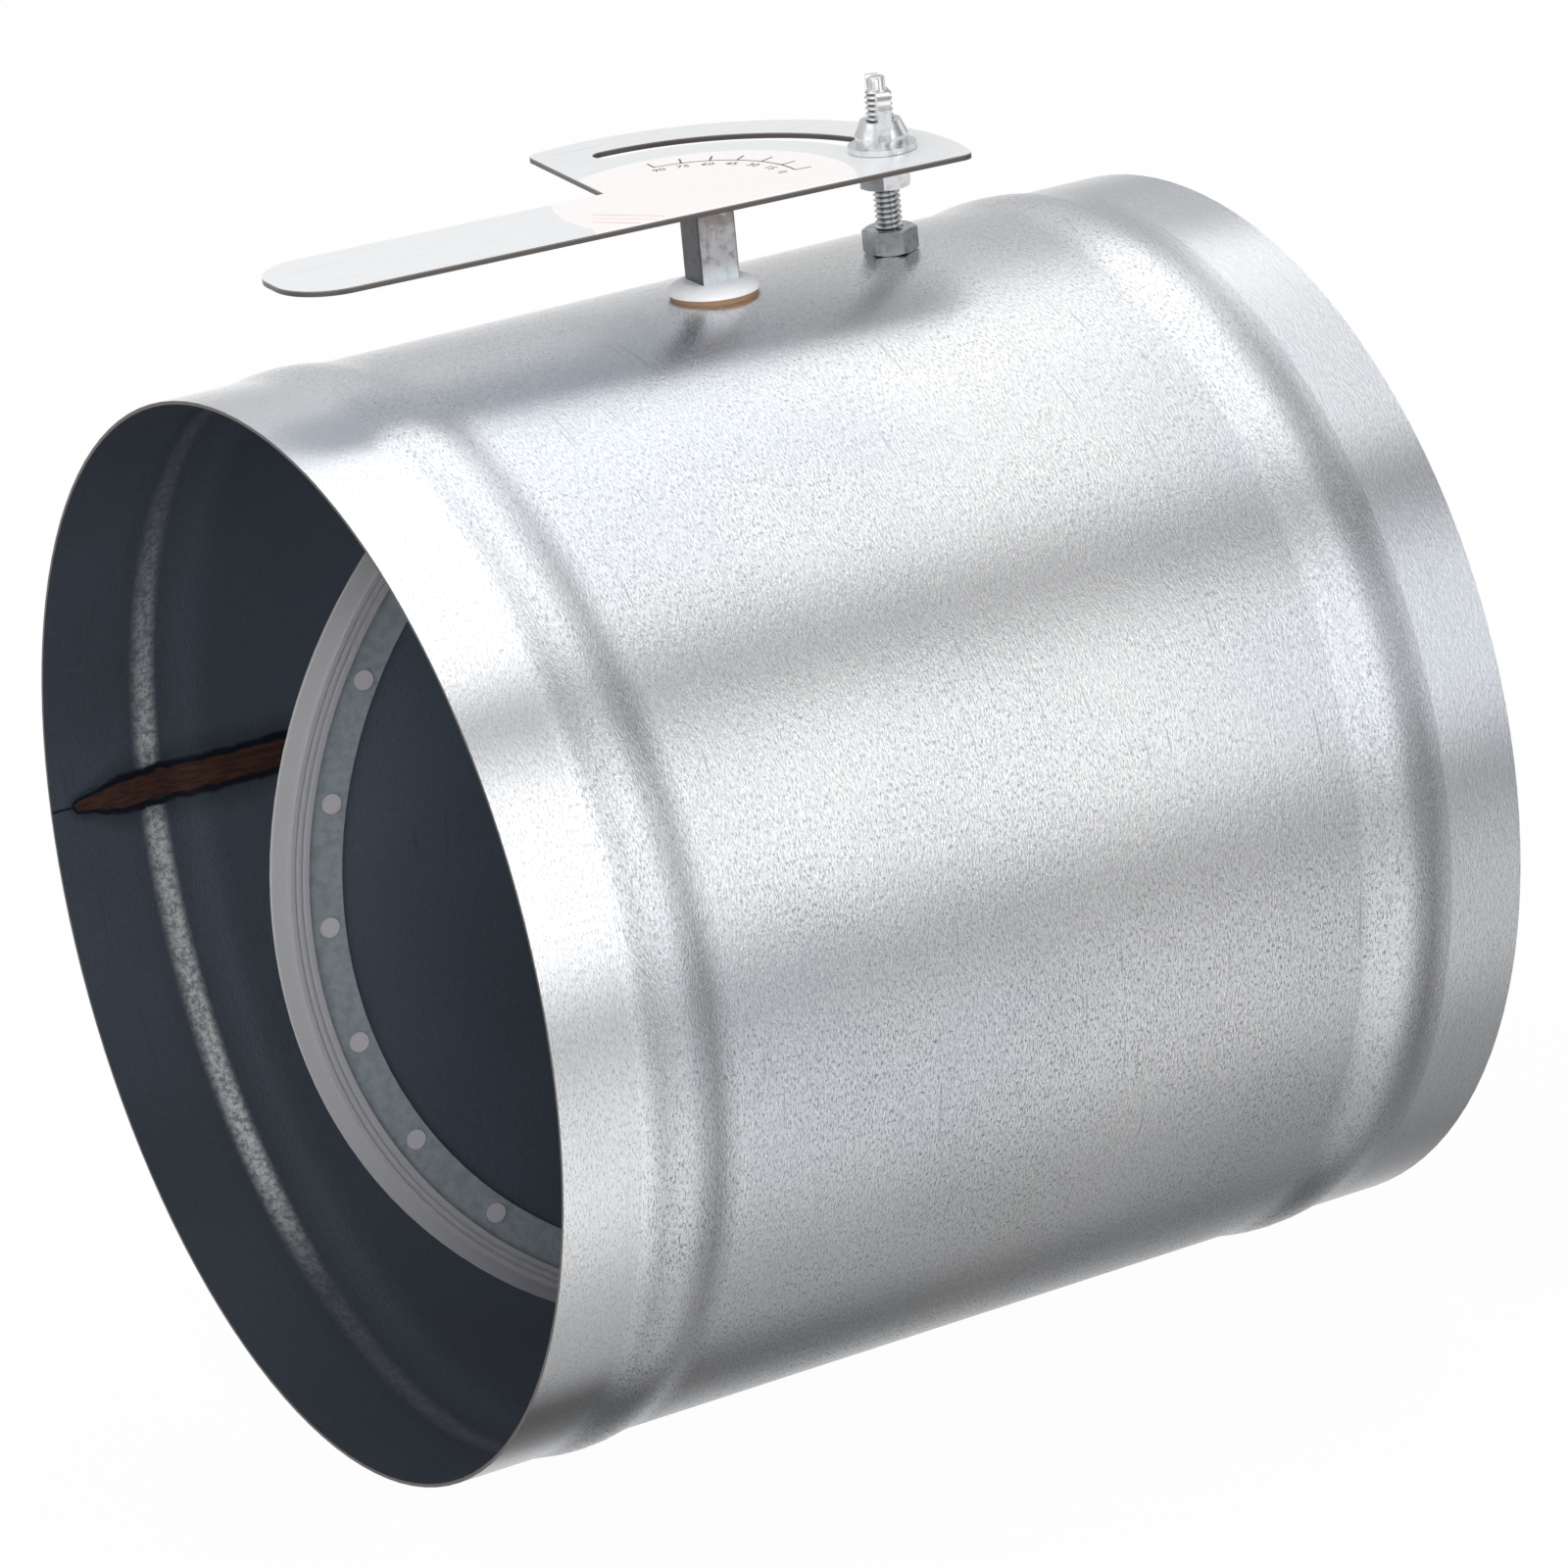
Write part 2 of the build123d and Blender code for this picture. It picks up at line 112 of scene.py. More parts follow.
# Seal: its free radius, distances in from there, and the plugs through the blade
SEAL_R = DUCT_R - 1.3 * MM
BAND_INSET, LIP_INSET, PLUG_INSET = 8.1 * MM, 3.5 * MM, 12.9 * MM
PLUG_PITCH = math.radians(15.0)
PLUG_EDGE = (2.5 * MM, 2.25 * MM)
PLUG_RING_STARTS, PLUG_RING_ENDS = (2.2 * MM, 2.45 * MM), (2.9 * MM, 2.5 * MM)

# Stud: points round its thread and rows in one turn, the thread's shape, its lead-out and the
# head's chamfer, then the plain point: what each ring adds to its radius, and its height from the
# end of the thread or from the tip
STUD_COLUMNS, STUD_ROWS = 40, 14
FLANK_SLOPE, CREST_SHARE = 2.6, 0.15
LEAD_OUT, HEAD_CHAMFER = 0.8 * MM, 0.5 * MM
POINT_FOOT = ((0.15 * MM, 0.02 * MM), (0.0, 0.25 * MM))
POINT_TIP = ((0.0, -0.4 * MM), (-0.12 * MM, -0.12 * MM), (-0.4 * MM, 0.0))

# Numbers of the scale: a digit's height as a share of the font's size, and the last number
DIGIT_SHARE, LAST_NUMBER = 0.7, 90

# Lamps: place and size; each has its power in the settings
LAMPS = (
    ("key", (-0.5, -0.6, 1.3), (1.2, 0.8)),
    ("fill", (-0.35, -1.5, 0.30), (1.2, 0.7)),
    ("side", (-1.30, -0.9, 0.25), (1.0, 0.7)),
)

# Surroundings: an even level, and soft boxes along the duct. A box has its middle as an angle
# from straight up towards the front, half its width and its softness in degrees, and its
# strength; a negative one is a shadow.
EVEN_LEVEL = 0.52
SOFT_BOXES = (
    (-7, 35, 10, 0.90),     # overhead box
    (69, 23, 12, 0.88),     # front box
    (129, 21, 16, 0.37),    # floor in front
    (190, 18, 22, -0.20),   # floor beneath
    (207, 15, 8, -0.31),    # under the duct
    (236, 8, 10, 0.14),     # floor behind
    (-102, 12, 16, 0.52),   # back box
    (-60, 14, 14, 0.18),    # edge of the back box
)
SHADOW_ENDS = (0.43, 0.53, 1.0, 0.35)

# How the surroundings change along the duct, by the x of the direction: where a change starts and
# ends, and the factor at each. The glowing ends add instead. The front has its share by the y.
DIMMED_ENDS = ((0.07, 0.17, 0.1, 1.0), (0.38, 0.60, 1.26, 0.40), (0.68, 0.84, 1.0, 0.42))
GLOWING_ENDS = ((-0.05, -0.25, 0.0, 0.75), (0.86, 0.95, 0.0, 0.60))
FRONT_SHARE = (0.75, 0.0, 0.30, 1.0)

# Floor: from its middle to its sides, its colour, and how white the camera sees it
FLOOR_REACH, FLOOR_TONE, FLOOR_WHITE = 6.0, (0.82, 0.82, 0.82, 1.0), 0.97


# Settings that a user would change


def colour(name, description, value):
    return FloatVectorProperty(
        name=name, description=description, subtype="COLOR", size=3, min=0, max=1, default=value
    )


def length(name, description, value):
    return FloatProperty(
        name=name, description=description, unit="LENGTH", subtype="DISTANCE", min=0, default=value
    )


def angle(name, description, degrees):
    return FloatProperty(
        name=name, description=description, subtype="ANGLE", default=math.radians(degrees)
    )


class DamperColours(bpy.types.PropertyGroup):
    """Colours of the damper's finishes."""

    zinc: colour("Galvanised sheet", "Outside of the duct", (0.80, 0.81, 0.825))
    zinc_blue: colour("Blue cast", "Cooler patches of the zinc", (0.70, 0.735, 0.79))
    fleck: colour("Fleck", "Short dark dashes in the zinc", (0.34, 0.35, 0.37))
    # Painted shade: this dark slate stands in for the shade inside the duct
    inside: colour("Inside of the duct", "Dull slate zinc inside", (0.068, 0.082, 0.106))
    cut_edge: colour("Cut edge", "Bare steel at the sheared edges", (0.10, 0.09, 0.085))
    tint_brown: colour("Weld tint", "Brown heat tint of the weld", (0.095, 0.042, 0.026))
    tint_navy: colour("Weld outline", "Dark line each side of the weld", (0.008, 0.010, 0.018))
    # Painted shade: the blade's dark colour stands in for the shade inside the duct
    blade: colour("Blade", "Face of the blade", (0.090, 0.112, 0.142))
    seal_flange: colour("Seal flange", "Thin silicone over the blade", (0.245, 0.280, 0.302))
    seal_band: colour("Seal band", "Thick grooved band of the seal", (0.325, 0.325, 0.343))
    seal_lip: colour("Seal lip", "Thin outer lip of the seal", (0.285, 0.285, 0.300))
    seal_plug: colour("Seal plugs", "Silicone through the blade's holes", (0.425, 0.410, 0.435))
    plate: colour("Handle plate", "Top of the handle", (0.93, 0.95, 0.965))
    shaft: colour("Square shaft", "Drawn steel bar", (0.56, 0.55, 0.57))
    # The bar turns lighter and bluish close to the duct
    shaft_clean: colour("Clean shaft", "Bar close to the duct", (0.88, 0.97, 1.0))
    shaft_stain: colour("Shaft stain", "Mottling of the bar", (0.13, 0.12, 0.12))
    shaft_tint: colour("Shaft tint", "Bar near the handle's weld", (0.17, 0.10, 0.075))
    shaft_line: colour("Draw lines", "Dark lines along the bar", (0.10, 0.10, 0.10))
    # Painted shade on the bar's faces that look along the duct
    shaft_side: colour("Shaft side", "Faces that look along the duct", (0.05, 0.05, 0.058))
    rivet: colour("Rivets", "Plain steel", (0.42, 0.42, 0.43))
    rivet_stain: colour("Rivet stain", "Mottling of the rivets", (0.20, 0.19, 0.18))
    spring: colour("Clip", "Dark spring steel", (0.05, 0.05, 0.055))
    spring_stain: colour("Clip stain", "Mottling of the clip", (0.02, 0.02, 0.02))
    fillet: colour("Handle weld", "Bead from the plate to the shaft", (0.16, 0.13, 0.12))
    fillet_stain: colour("Handle weld stain", "Mottling of the bead", (0.04, 0.03, 0.03))
    fastener: colour("Clamp", "Bright zinc of the wing nut and its washer", (0.84, 0.85, 0.865))
    stud: colour("Stud and nuts", "Dull zinc of the stud and its nuts", (0.34, 0.345, 0.36))
    label: colour("Label", "Film of the scale", (0.930, 0.905, 0.895))
    ink: colour("Ink", "Printed scale", (0.035, 0.035, 0.04))
    rule: colour("Rule", "Thin printed rule", (0.80, 0.50, 0.47))
    nylon: colour("Bush", "Natural nylon", (0.94, 0.94, 0.96))
    fibre: colour("Gasket", "Brown fibre washer", (0.11, 0.06, 0.04))


class DamperSizes(bpy.types.PropertyGroup):
    """Sizes of the pieces that are made here."""

    thread_pitch: length("Thread pitch", "Rise of the stud's thread in one turn", 1.27 * MM)
    thread_depth: length("Thread depth", "Crest to root of the stud's thread", 0.72 * MM)
    stud_radius: length("Stud radius", "Over the crests of the thread", 3.175 * MM)
    stud_point_radius: length("Stud point radius", "Plain end of the stud", 1.9 * MM)
    stud_point: length("Stud point", "Length of the plain end", 3.0 * MM)
    stud_head: length("Stud head", "Height of the hexagon inside the duct", 4.0 * MM)
    stud_flats: length("Across flats", "Of the hexagon inside the duct", 11.11 * MM)
    scale_count: IntProperty(name="Marks", description="Marks on the scale", min=2, default=7)
    scale_radius: length("Scale radius", "Inner ends of the marks", 24.3 * MM)
    scale_mark: length("Mark length", "Length of each mark", 4.0 * MM)
    scale_line: length("Line width", "Width of the printed lines", 0.42 * MM)
    scale_centre: FloatVectorProperty(
        name="Scale centre", description="From the shaft, along and across the handle", size=2,
        unit="LENGTH", default=(-0.9 * MM, 2.95 * MM),
    )
    scale_ink: length("Ink thickness", "Height of the print", 0.03 * MM)
    scale_start: angle("First mark", "Angle of the first mark from the handle's cross line", -5.6)
    scale_end: angle("Last mark", "Angle of the last mark from the handle's cross line", 86.2)
    number_height: length("Number height", "Height of the numbers", 2.2 * MM)
    number_radius: length("Number radius", "Radius of the ring of numbers", 21.2 * MM)


class DamperStudio(bpy.types.PropertyGroup):
    """Camera, floor and light."""

    camera_place: FloatVectorProperty(
        name="Camera place", description="Where the camera stands", subtype="TRANSLATION",
        unit="LENGTH", size=3, default=(-0.62834, -1.37393, 0.54840),
    )
    camera_turn: FloatVectorProperty(
        name="Camera turn", description="Rotation of the camera", subtype="EULER", size=3,
        default=(1.236518, 0.089574, -0.535367),
    )
    lens: FloatProperty(
        name="Lens", description="Focal length on a 36 mm sensor, in millimetres", default=164.83
    )
    light_level: FloatProperty(
        name="Light level", description="Strength of the studio's surroundings", min=0, default=1.0
    )
    key_power: FloatProperty(
        name="Key light", description="Power of the lamp above", unit="POWER", min=0, default=5.0
    )
    fill_power: FloatProperty(
        name="Fill light", description="Power of the lamp in front", unit="POWER", min=0,
        default=5.5,
    )
    side_power: FloatProperty(
        name="Side light", description="Power of the lamp at the inlet end", unit="POWER", min=0,
        default=1.5,
    )
    floor_gap: length("Floor gap", "Room between the part and the floor", 0.4 * MM)


# Printed lines on the film: both ends and the width, from the shaft along and across the handle
RULE_LINES = (
    ((-28.4, -0.6), (-16.9, -14.0), 0.36),
    ((-29.9, -3.6), (-19.2, -15.4), 0.22),
    ((-31.2, -6.6), (-23.6, -15.6), 0.36),
)


# Shader wiring


class Wiring:
    """Adds nodes to one tree. A value is a number, a colour or another node's socket."""

    def __init__(self, tree):
        self.tree = tree

    def put(self, socket, value):
        if isinstance(value, bpy.types.NodeSocket):
            self.tree.links.new(value, socket)
        else:
            socket.default_value = value

    def add(self, kind, inputs=None, **settings):
        node = self.tree.nodes.new(kind)
        for name, value in settings.items():
            setattr(node, name, value)
        for name, value in (inputs or {}).items():
            self.put(node.inputs[name], value)
        return node

    def math(self, operation, *values):
        node = self.add("ShaderNodeMath", operation=operation)
        for socket, value in zip(node.inputs, values):
            self.put(socket, value)
        return node.outputs[0]

    def times(self, product, *factors):
        for factor in factors:
            product = self.math("MULTIPLY", product, factor)
        return product

    def plus(self, first, second):
        return self.math("ADD", first, second)

    def minus(self, first, second):
        return self.math("SUBTRACT", first, second)

    def blend(self, share, first, second):
        node = self.add("ShaderNodeMix", data_type="RGBA")
        for place, value in zip((0, 6, 7), (share, first, second)):
            self.put(node.inputs[place], value)
        return node.outputs[2]

    def fade(self, value, low, high, out_low=0.0, out_high=1.0):
        """Runs smoothly from out_low at low to out_high at high."""
        if isinstance(low, (int, float)) and low > high:
            low, high, out_low, out_high = high, low, out_high, out_low
        inputs = {"Value": value, "From Min": low, "From Max": high,
                  "To Min": out_low, "To Max": out_high}
        return self.add("ShaderNodeMapRange", inputs, interpolation_type="SMOOTHSTEP").outputs[0]

    def noise(self, vector, scale, detail=2.0, roughness=0.5):
        inputs = {"Vector": vector, "Scale": scale, "Detail": detail, "Roughness": roughness}
        return self.add("ShaderNodeTexNoise", inputs).outputs[0]

    def parts(self, vector):
        return self.add("ShaderNodeSeparateXYZ", {"Vector": vector}).outputs

    def vector(self, x, y, z):
        return self.add("ShaderNodeCombineXYZ", {"X": x, "Y": y, "Z": z}).outputs[0]

    def distance(self, first, second):
        """Length of the vector of two components."""
        squares = (self.math("POWER", value, 2) for value in (first, second))
        return self.math("SQRT", self.plus(*squares))

    def place(self, effect, **inputs):
        """Places a shared effect and sets its inputs, written with _ for a space."""
        node = self.add("ShaderNodeGroup", node_tree=bpy.data.node_groups[effect])
        for name, value in inputs.items():
            self.put(node.inputs[name.replace("_", " ")], value)
        return node.outputs


def shaded(value, factor):
    return tuple(channel * factor for channel in value)


def rgba(value, factor=1.0):
    return (*shaded(value, factor), 1.0)


def new_effect(name, inputs, outputs):
    """A shader node group with its sockets; gives its wiring, what comes in and what goes out."""
    group = bpy.data.node_groups.new(name, "ShaderNodeTree")
    for in_out, sockets in (("INPUT", inputs), ("OUTPUT", outputs)):
        for label, kind in sockets.items():
            group.interface.new_socket(name=label, in_out=in_out, socket_type=kind)
    wiring = Wiring(group)
    return wiring, wiring.add("NodeGroupInput").outputs, wiring.add("NodeGroupOutput").inputs


FLOAT, VECTOR, COLOUR = "NodeSocketFloat", "NodeSocketVector", "NodeSocketColor"
ROLLED, PLATED, TINTED = "Rolled sheet", "Plated steel", "Heat tint"


def build_rolled_sheet():
    """Zinc on rolled sheet: soft clouds, short dark dashes along Y, a few long scratches and painted glints."""
    w, given, out = new_effect(
        ROLLED,
        {"Vector": VECTOR, "Colour": COLOUR, "Cast": COLOUR, "Fleck": COLOUR,
         "Fleck Amount": FLOAT, "Fleck Scale": FLOAT, "Stretch": FLOAT,
         "Scratch Amount": FLOAT, "Glint Amount": FLOAT, "Roughness": FLOAT},
        {"Colour": COLOUR, "Roughness": FLOAT, "Height": FLOAT},
    )
    x, y, z = w.parts(given["Vector"])
    dash_place = w.vector(x, w.times(y, given["Stretch"]), z)
    grain = w.noise(dash_place, given["Fleck Scale"], 3.0, 0.72)
    dash = w.fade(grain, 0.50, 0.70, 0.0, 0.35)
    glint = w.fade(grain, 0.50, 0.32)
    tick_stretch = w.times(given["Stretch"], 0.75)
    tick_place = w.vector(x, w.times(y, tick_stretch), z)
    tick_scale = w.times(given["Fleck Scale"], 1.35)
    tick = w.fade(w.noise(tick_place, tick_scale, 1.0), 0.60, 0.66)
    dash = w.math("MAXIMUM", dash, tick)
    patch = w.fade(w.noise(given["Vector"], 30.0, 2.5), 0.34, 0.62, 0.45, 1.0)
    scratch_place = w.vector(x, w.times(y, 0.035), z)
    scratch = w.fade(w.noise(scratch_place, 1300.0, 0.0), 0.765, 0.80)
    scratch_break = w.fade(w.noise(given["Vector"], 55.0, 0.0), 0.50, 0.60)
    scratch = w.times(scratch, scratch_break, given["Scratch Amount"])
    cloud = w.fade(w.noise(given["Vector"], 9.0, 3.0), 0.35, 0.68)
    base = w.blend(cloud, given["Colour"], given["Cast"])
    # Painted glints: white specks mixed into the colour
    base = w.blend(w.times(glint, given["Glint Amount"]), base, (1, 1, 1, 1))
    fleck_share = w.times(dash, patch, given["Fleck Amount"])
    fleck_share = w.math("MAXIMUM", fleck_share, scratch)
    w.put(out["Colour"], w.blend(fleck_share, base, given["Fleck"]))
    rough = w.math("MULTIPLY_ADD", fleck_share, 0.25, given["Roughness"])
    rough = w.math("MULTIPLY_ADD", cloud, 0.05, rough)
    w.put(out["Roughness"], rough)
    w.put(out["Height"], w.math("MULTIPLY_ADD", tick, -0.25, grain))


def build_plated_steel():
    """Plated or drawn steel: darker stains in a coarse mottling, and a finer relief."""
    w, given, out = new_effect(
        PLATED,
        {"Vector": VECTOR, "Colour": COLOUR, "Stain": COLOUR, "Stain Amount": FLOAT,
         "Scale": FLOAT, "Roughness": FLOAT},
        {"Colour": COLOUR, "Roughness": FLOAT, "Height": FLOAT},
    )
    mottle = w.noise(given["Vector"], given["Scale"], 3.0, 0.6)
    fine = w.noise(given["Vector"], w.times(given["Scale"], 5.0), 1.0)
    stain = w.times(w.fade(mottle, 0.45, 0.72), given["Stain Amount"])
    w.put(out["Colour"], w.blend(stain, given["Colour"], given["Stain"]))
    w.put(out["Roughness"], w.math("MULTIPLY_ADD", mottle, 0.18, given["Roughness"]))
    w.put(out["Height"], w.plus(mottle, w.times(fine, 0.35)))


def build_heat_tint():
    """A straight weld seen across its width: brown in the middle, a dark line at each side."""
    w, given, out = new_effect(
        TINTED,
        {"Across": FLOAT, "Along": FLOAT, "Start": FLOAT, "End": FLOAT, "Half Width": FLOAT,
         "Colour": COLOUR, "Brown": COLOUR, "Navy": COLOUR},
        {"Colour": COLOUR, "Mask": FLOAT},
    )
    middle = w.times(w.plus(given["Start"], given["End"]), 0.5)
    reach = w.times(w.minus(given["End"], given["Start"]), 0.5)
    off = w.math("ABSOLUTE", w.minus(given["Along"], middle))
    taper = w.fade(off, w.minus(reach, SEAM_TAPER), reach, 1.0, 0.35)
    half = w.times(taper, given["Half Width"])
    past = w.math("MAXIMUM", w.minus(off, w.minus(reach, half)), 0.0)
    place = w.vector(given["Along"], given["Across"], 0.0)
    ripple = w.minus(w.noise(place, 260.0, 2.0), 0.5)
    reach_out = w.distance(past, given["Across"])
    share = w.math("DIVIDE", reach_out, half)
    share = w.math("MULTIPLY_ADD", ripple, 0.35, share)
    brown = w.fade(share, 0.68, 0.52)
    navy = w.times(w.fade(share, 0.52, 0.66), w.fade(share, 1.02, 0.82))
    glow = w.times(w.fade(share, 2.2, 0.9), 0.40)
    streak_place = w.vector(w.times(given["Along"], 0.2), given["Across"], 0.0)
    streak = w.noise(streak_place, 900.0)
    brown_two = w.blend(w.fade(streak, 0.40, 0.62, 0.0, 0.45), given["Brown"], given["Navy"])
    tone = w.blend(glow, given["Colour"], given["Navy"])
    tone = w.blend(brown, tone, brown_two)
    w.put(out["Colour"], w.blend(navy, tone, given["Navy"]))
    w.put(out["Mask"], w.math("MAXIMUM", brown, navy))


def new_finish(name):
    """A new material with a bare surface node; gives its wiring, its surface and coordinates."""
    material = bpy.data.materials.new(name)
    material.use_nodes = True
    tree = material.node_tree
    tree.nodes.clear()
    wiring = Wiring(tree)
    surface = wiring.add("ShaderNodeBsdfPrincipled")
    output = wiring.add("ShaderNodeOutputMaterial")
    wiring.put(output.inputs["Surface"], surface.outputs[0])
    return wiring, surface, wiring.add("ShaderNodeTexCoord").outputs


def cover(w, surface, tone, rough, metallic, height, depth, strength):
    """Joins a finish's colour, gloss, share of metal and relief to its surface node."""
    relief = w.add("ShaderNodeBump", {"Height": height, "Distance": depth, "Strength": strength})
    for name, value in (("Base Color", tone), ("Roughness", rough), ("Metallic", metallic),
                        ("Normal", relief.outputs[0])):
        w.put(surface.inputs[name], value)


def plain_finish(name, base, roughness, grain, shade, depth=0.02 * MM):
    """A finish with fine mottling in its colour, gloss and height."""
    w, surface, place = new_finish(name)
    mottle = w.noise(place["Object"], grain, 3.0)
    tone = w.blend(w.fade(mottle, 0.3, 0.7), rgba(base), rgba(base, 1 - shade))
    rough = w.math("MULTIPLY_ADD", mottle, 0.15, roughness - 0.07)
    cover(w, surface, tone, rough, 0.0, mottle, depth, 0.5)


# Finishes of the CAD nodes


def seam_tint(w, x, z, base, tones):
    """The seam's heat tint over a base colour."""
    return w.place(TINTED, Across=z, Along=x, Start=SEAM_INSET, End=DUCT_LENGTH - SEAM_INSET,
                   Half_Width=SEAM_HALF, Colour=base, Brown=rgba(tones.tint_brown),
                   Navy=rgba(tones.tint_navy))


def duct_finish(tones):
    """Bright zinc outside, dark slate inside as painted shade, bare steel at the cut ends and a tinted seam."""
    w, surface, place = new_finish("duct_zinc")
    x, y, z = w.parts(place["Object"])
    nx, ny, nz = w.parts(place["Normal"])
    radial = w.distance(y, z)
    outward = w.plus(w.times(ny, y), w.times(nz, z))
    outward = w.math("DIVIDE", outward, radial)
    outside = w.fade(outward, *FACES_OUT)
    on_edge = w.fade(w.math("ABSOLUTE", nx), 0.7, 0.9)
    turn = w.math("ARCTAN2", z, w.times(y, -1.0))
    wrapped = w.vector(x, w.times(turn, DUCT_R), radial)
    from_end = w.math("MINIMUM", x, w.minus(DUCT_LENGTH, x))
    body = w.fade(from_end, *ZINC_STARTS, 0.40, 1.0)
    wear = w.times(body, w.fade(z, *ZINC_WORN, 0.64, 0.88))
    zinc = w.place(ROLLED, Vector=wrapped, Colour=rgba(tones.zinc), Cast=rgba(tones.zinc_blue),
                   Fleck=rgba(tones.fleck), Fleck_Amount=wear, Fleck_Scale=2300.0, Stretch=0.34,
                   Scratch_Amount=w.times(body, 0.3), Glint_Amount=0.26, Roughness=0.14)
    # The inside takes the dark slate of painted shade
    inner = w.place(ROLLED, Vector=wrapped, Colour=rgba(tones.inside),
                    Cast=rgba(tones.inside, 1.25), Fleck=rgba(tones.inside, 0.55),
                    Fleck_Amount=0.35, Fleck_Scale=1900.0, Stretch=0.3, Scratch_Amount=0.3,
                    Glint_Amount=FEW_GLINTS, Roughness=0.40)
    # Painted light further in from the ends, and painted shade lower down inside
    depth = w.fade(from_end, *INSIDE_LIT)
    low = w.fade(z, *INSIDE_SHADED, 0.0, 0.45)
    hollow = w.blend(w.times(depth, 0.9), inner["Colour"], rgba(tones.inside, 2.2))
    hollow = w.blend(low, hollow, rgba(tones.inside, 0.4))
    # Painted highlight: a speckled streak of bright zinc along the bead inside, standing for a reflection
    speck = w.fade(w.noise(wrapped, 700.0, 5.0, 0.75), 0.38, 0.60, 0.30, 1.0)
    groove = w.times(w.fade(x, *GROOVE_STARTS), w.fade(x, *GROOVE_ENDS),
                     w.fade(z, *GROOVE_TOP, 0.12, 1.0), w.fade(z, *GROOVE_BOTTOM, 0.1, 1.0),
                     speck)
    inside_and_groove_highlight = w.blend(groove, hollow, rgba(tones.zinc))
    seam = seam_tint(w, x, z, inside_and_groove_highlight, tones)
    on_seam = w.fade(y, 0.0, 1 * MM)
    hairline = w.times(on_seam, w.fade(w.math("ABSOLUTE", z), *SEAM_LINE))
    dark = w.blend(on_seam, inside_and_groove_highlight, seam["Colour"])
    dark = w.blend(hairline, dark, rgba(tones.tint_navy))
    outer_seam = w.times(on_seam, seam["Mask"])
    bright = w.blend(w.times(outer_seam, 0.5), zinc["Colour"], seam["Colour"])
    tone = w.blend(on_edge, w.blend(outside, dark, bright), rgba(tones.cut_edge))
    rough = w.blend(outside, inner["Roughness"], zinc["Roughness"])
    metallic = w.fade(outward, *FACES_OUT, 0.45, 1.0)
    height = w.times(body, w.blend(outside, inner["Height"], zinc["Height"]))
    cover(w, surface, tone, rough, metallic, height, 0.11 * MM, 0.9)


def weld_finish(tones):
    """Rough brown weld between dark lines."""
    w, surface, place = new_finish("heat_tinted_weld")
    x, _, z = w.parts(place["Object"])
    # The weld's base is the inside's dark slate of painted shade
    tone = seam_tint(w, x, z, rgba(tones.inside), tones)["Colour"]
    grain = w.noise(place["Object"], 1800.0, 3.0)
    rough = w.fade(grain, 0.3, 0.7, 0.35, 0.6)
    cover(w, surface, tone, rough, 0.5, grain, 0.08 * MM, 0.6)


def from_shaft(w, place):
    """Distance along the blade, off it and up, measured from the shaft with the blade as set."""
    node = w.add("ShaderNodeVectorRotate", {
        "Vector": place["Object"], "Center": (SHAFT_X, 0, 0), "Angle": -HANDLE_SET},
        rotation_type="Z_AXIS")
    along, off, up = w.parts(node.outputs[0])
    return w.minus(along, SHAFT_X), off, up


def blade_finish(tones):
    """Dull zinc with a fine vertical grain, darkened as painted shade inside the duct."""
    w, surface, place = new_finish("blade_zinc")
    along, off, up = from_shaft(w, place)
    sheet = w.place(ROLLED, Vector=w.vector(along, up, off), Colour=rgba(tones.blade),
                    Cast=rgba(tones.blade, 1.2), Fleck=rgba(tones.blade, 0.55),
                    Fleck_Amount=0.25, Fleck_Scale=1900.0, Stretch=0.3, Scratch_Amount=0.25,
                    Glint_Amount=FEW_GLINTS, Roughness=0.40)
    cover(w, surface, sheet["Colour"], sheet["Roughness"], 0.5, sheet["Height"], 0.018 * MM, 0.35)


def seal_finish(tones):
    """Translucent silicone, told apart by its distance from the middle of the blade."""
    w, surface, place = new_finish("clear_silicone")
    along, _, up = from_shaft(w, place)
    reach = w.distance(along, up)
    haze = w.noise(place["Object"], 420.0, 4.0, 0.62)
    flange_dark = rgba(tones.seal_flange, 0.80)
    tone = w.blend(w.fade(haze, 0.38, 0.66), rgba(tones.seal_flange), flange_dark)
    band, lip = SEAL_R - BAND_INSET, SEAL_R - LIP_INSET
    on_band = w.fade(reach, band - 0.4 * MM, band + 0.2 * MM)
    tone = w.blend(on_band, tone, rgba(tones.seal_band))
    on_lip = w.fade(reach, lip - 0.3 * MM, lip + 0.4 * MM)
    tone = w.blend(on_lip, tone, rgba(tones.seal_lip))
    turn = w.math("ARCTAN2", up, along)
    nearest = w.math("ROUND", w.math("DIVIDE", turn, PLUG_PITCH))
    nearest = w.times(nearest, PLUG_PITCH)
    aside = w.times(w.minus(turn, nearest), reach)
    plug = w.distance(aside, w.minus(reach, SEAL_R - PLUG_INSET))
    tone = w.blend(w.fade(plug, *PLUG_EDGE), tone, rgba(tones.seal_plug))
    ring = w.times(w.fade(plug, *PLUG_RING_STARTS), w.fade(plug, *PLUG_RING_ENDS))
    tone = w.blend(w.times(ring, 0.35), tone, flange_dark)
    rough = w.fade(haze, 0.3, 0.7, 0.30, 0.44)
    cover(w, surface, tone, rough, 0.0, haze, 0.04 * MM, 0.4)
    for name, value in (("Weight", 0.25), ("Radius", (1.0, 1.0, 1.0)), ("Scale", 1.5 * MM)):
        w.put(surface.inputs["Subsurface " + name], value)


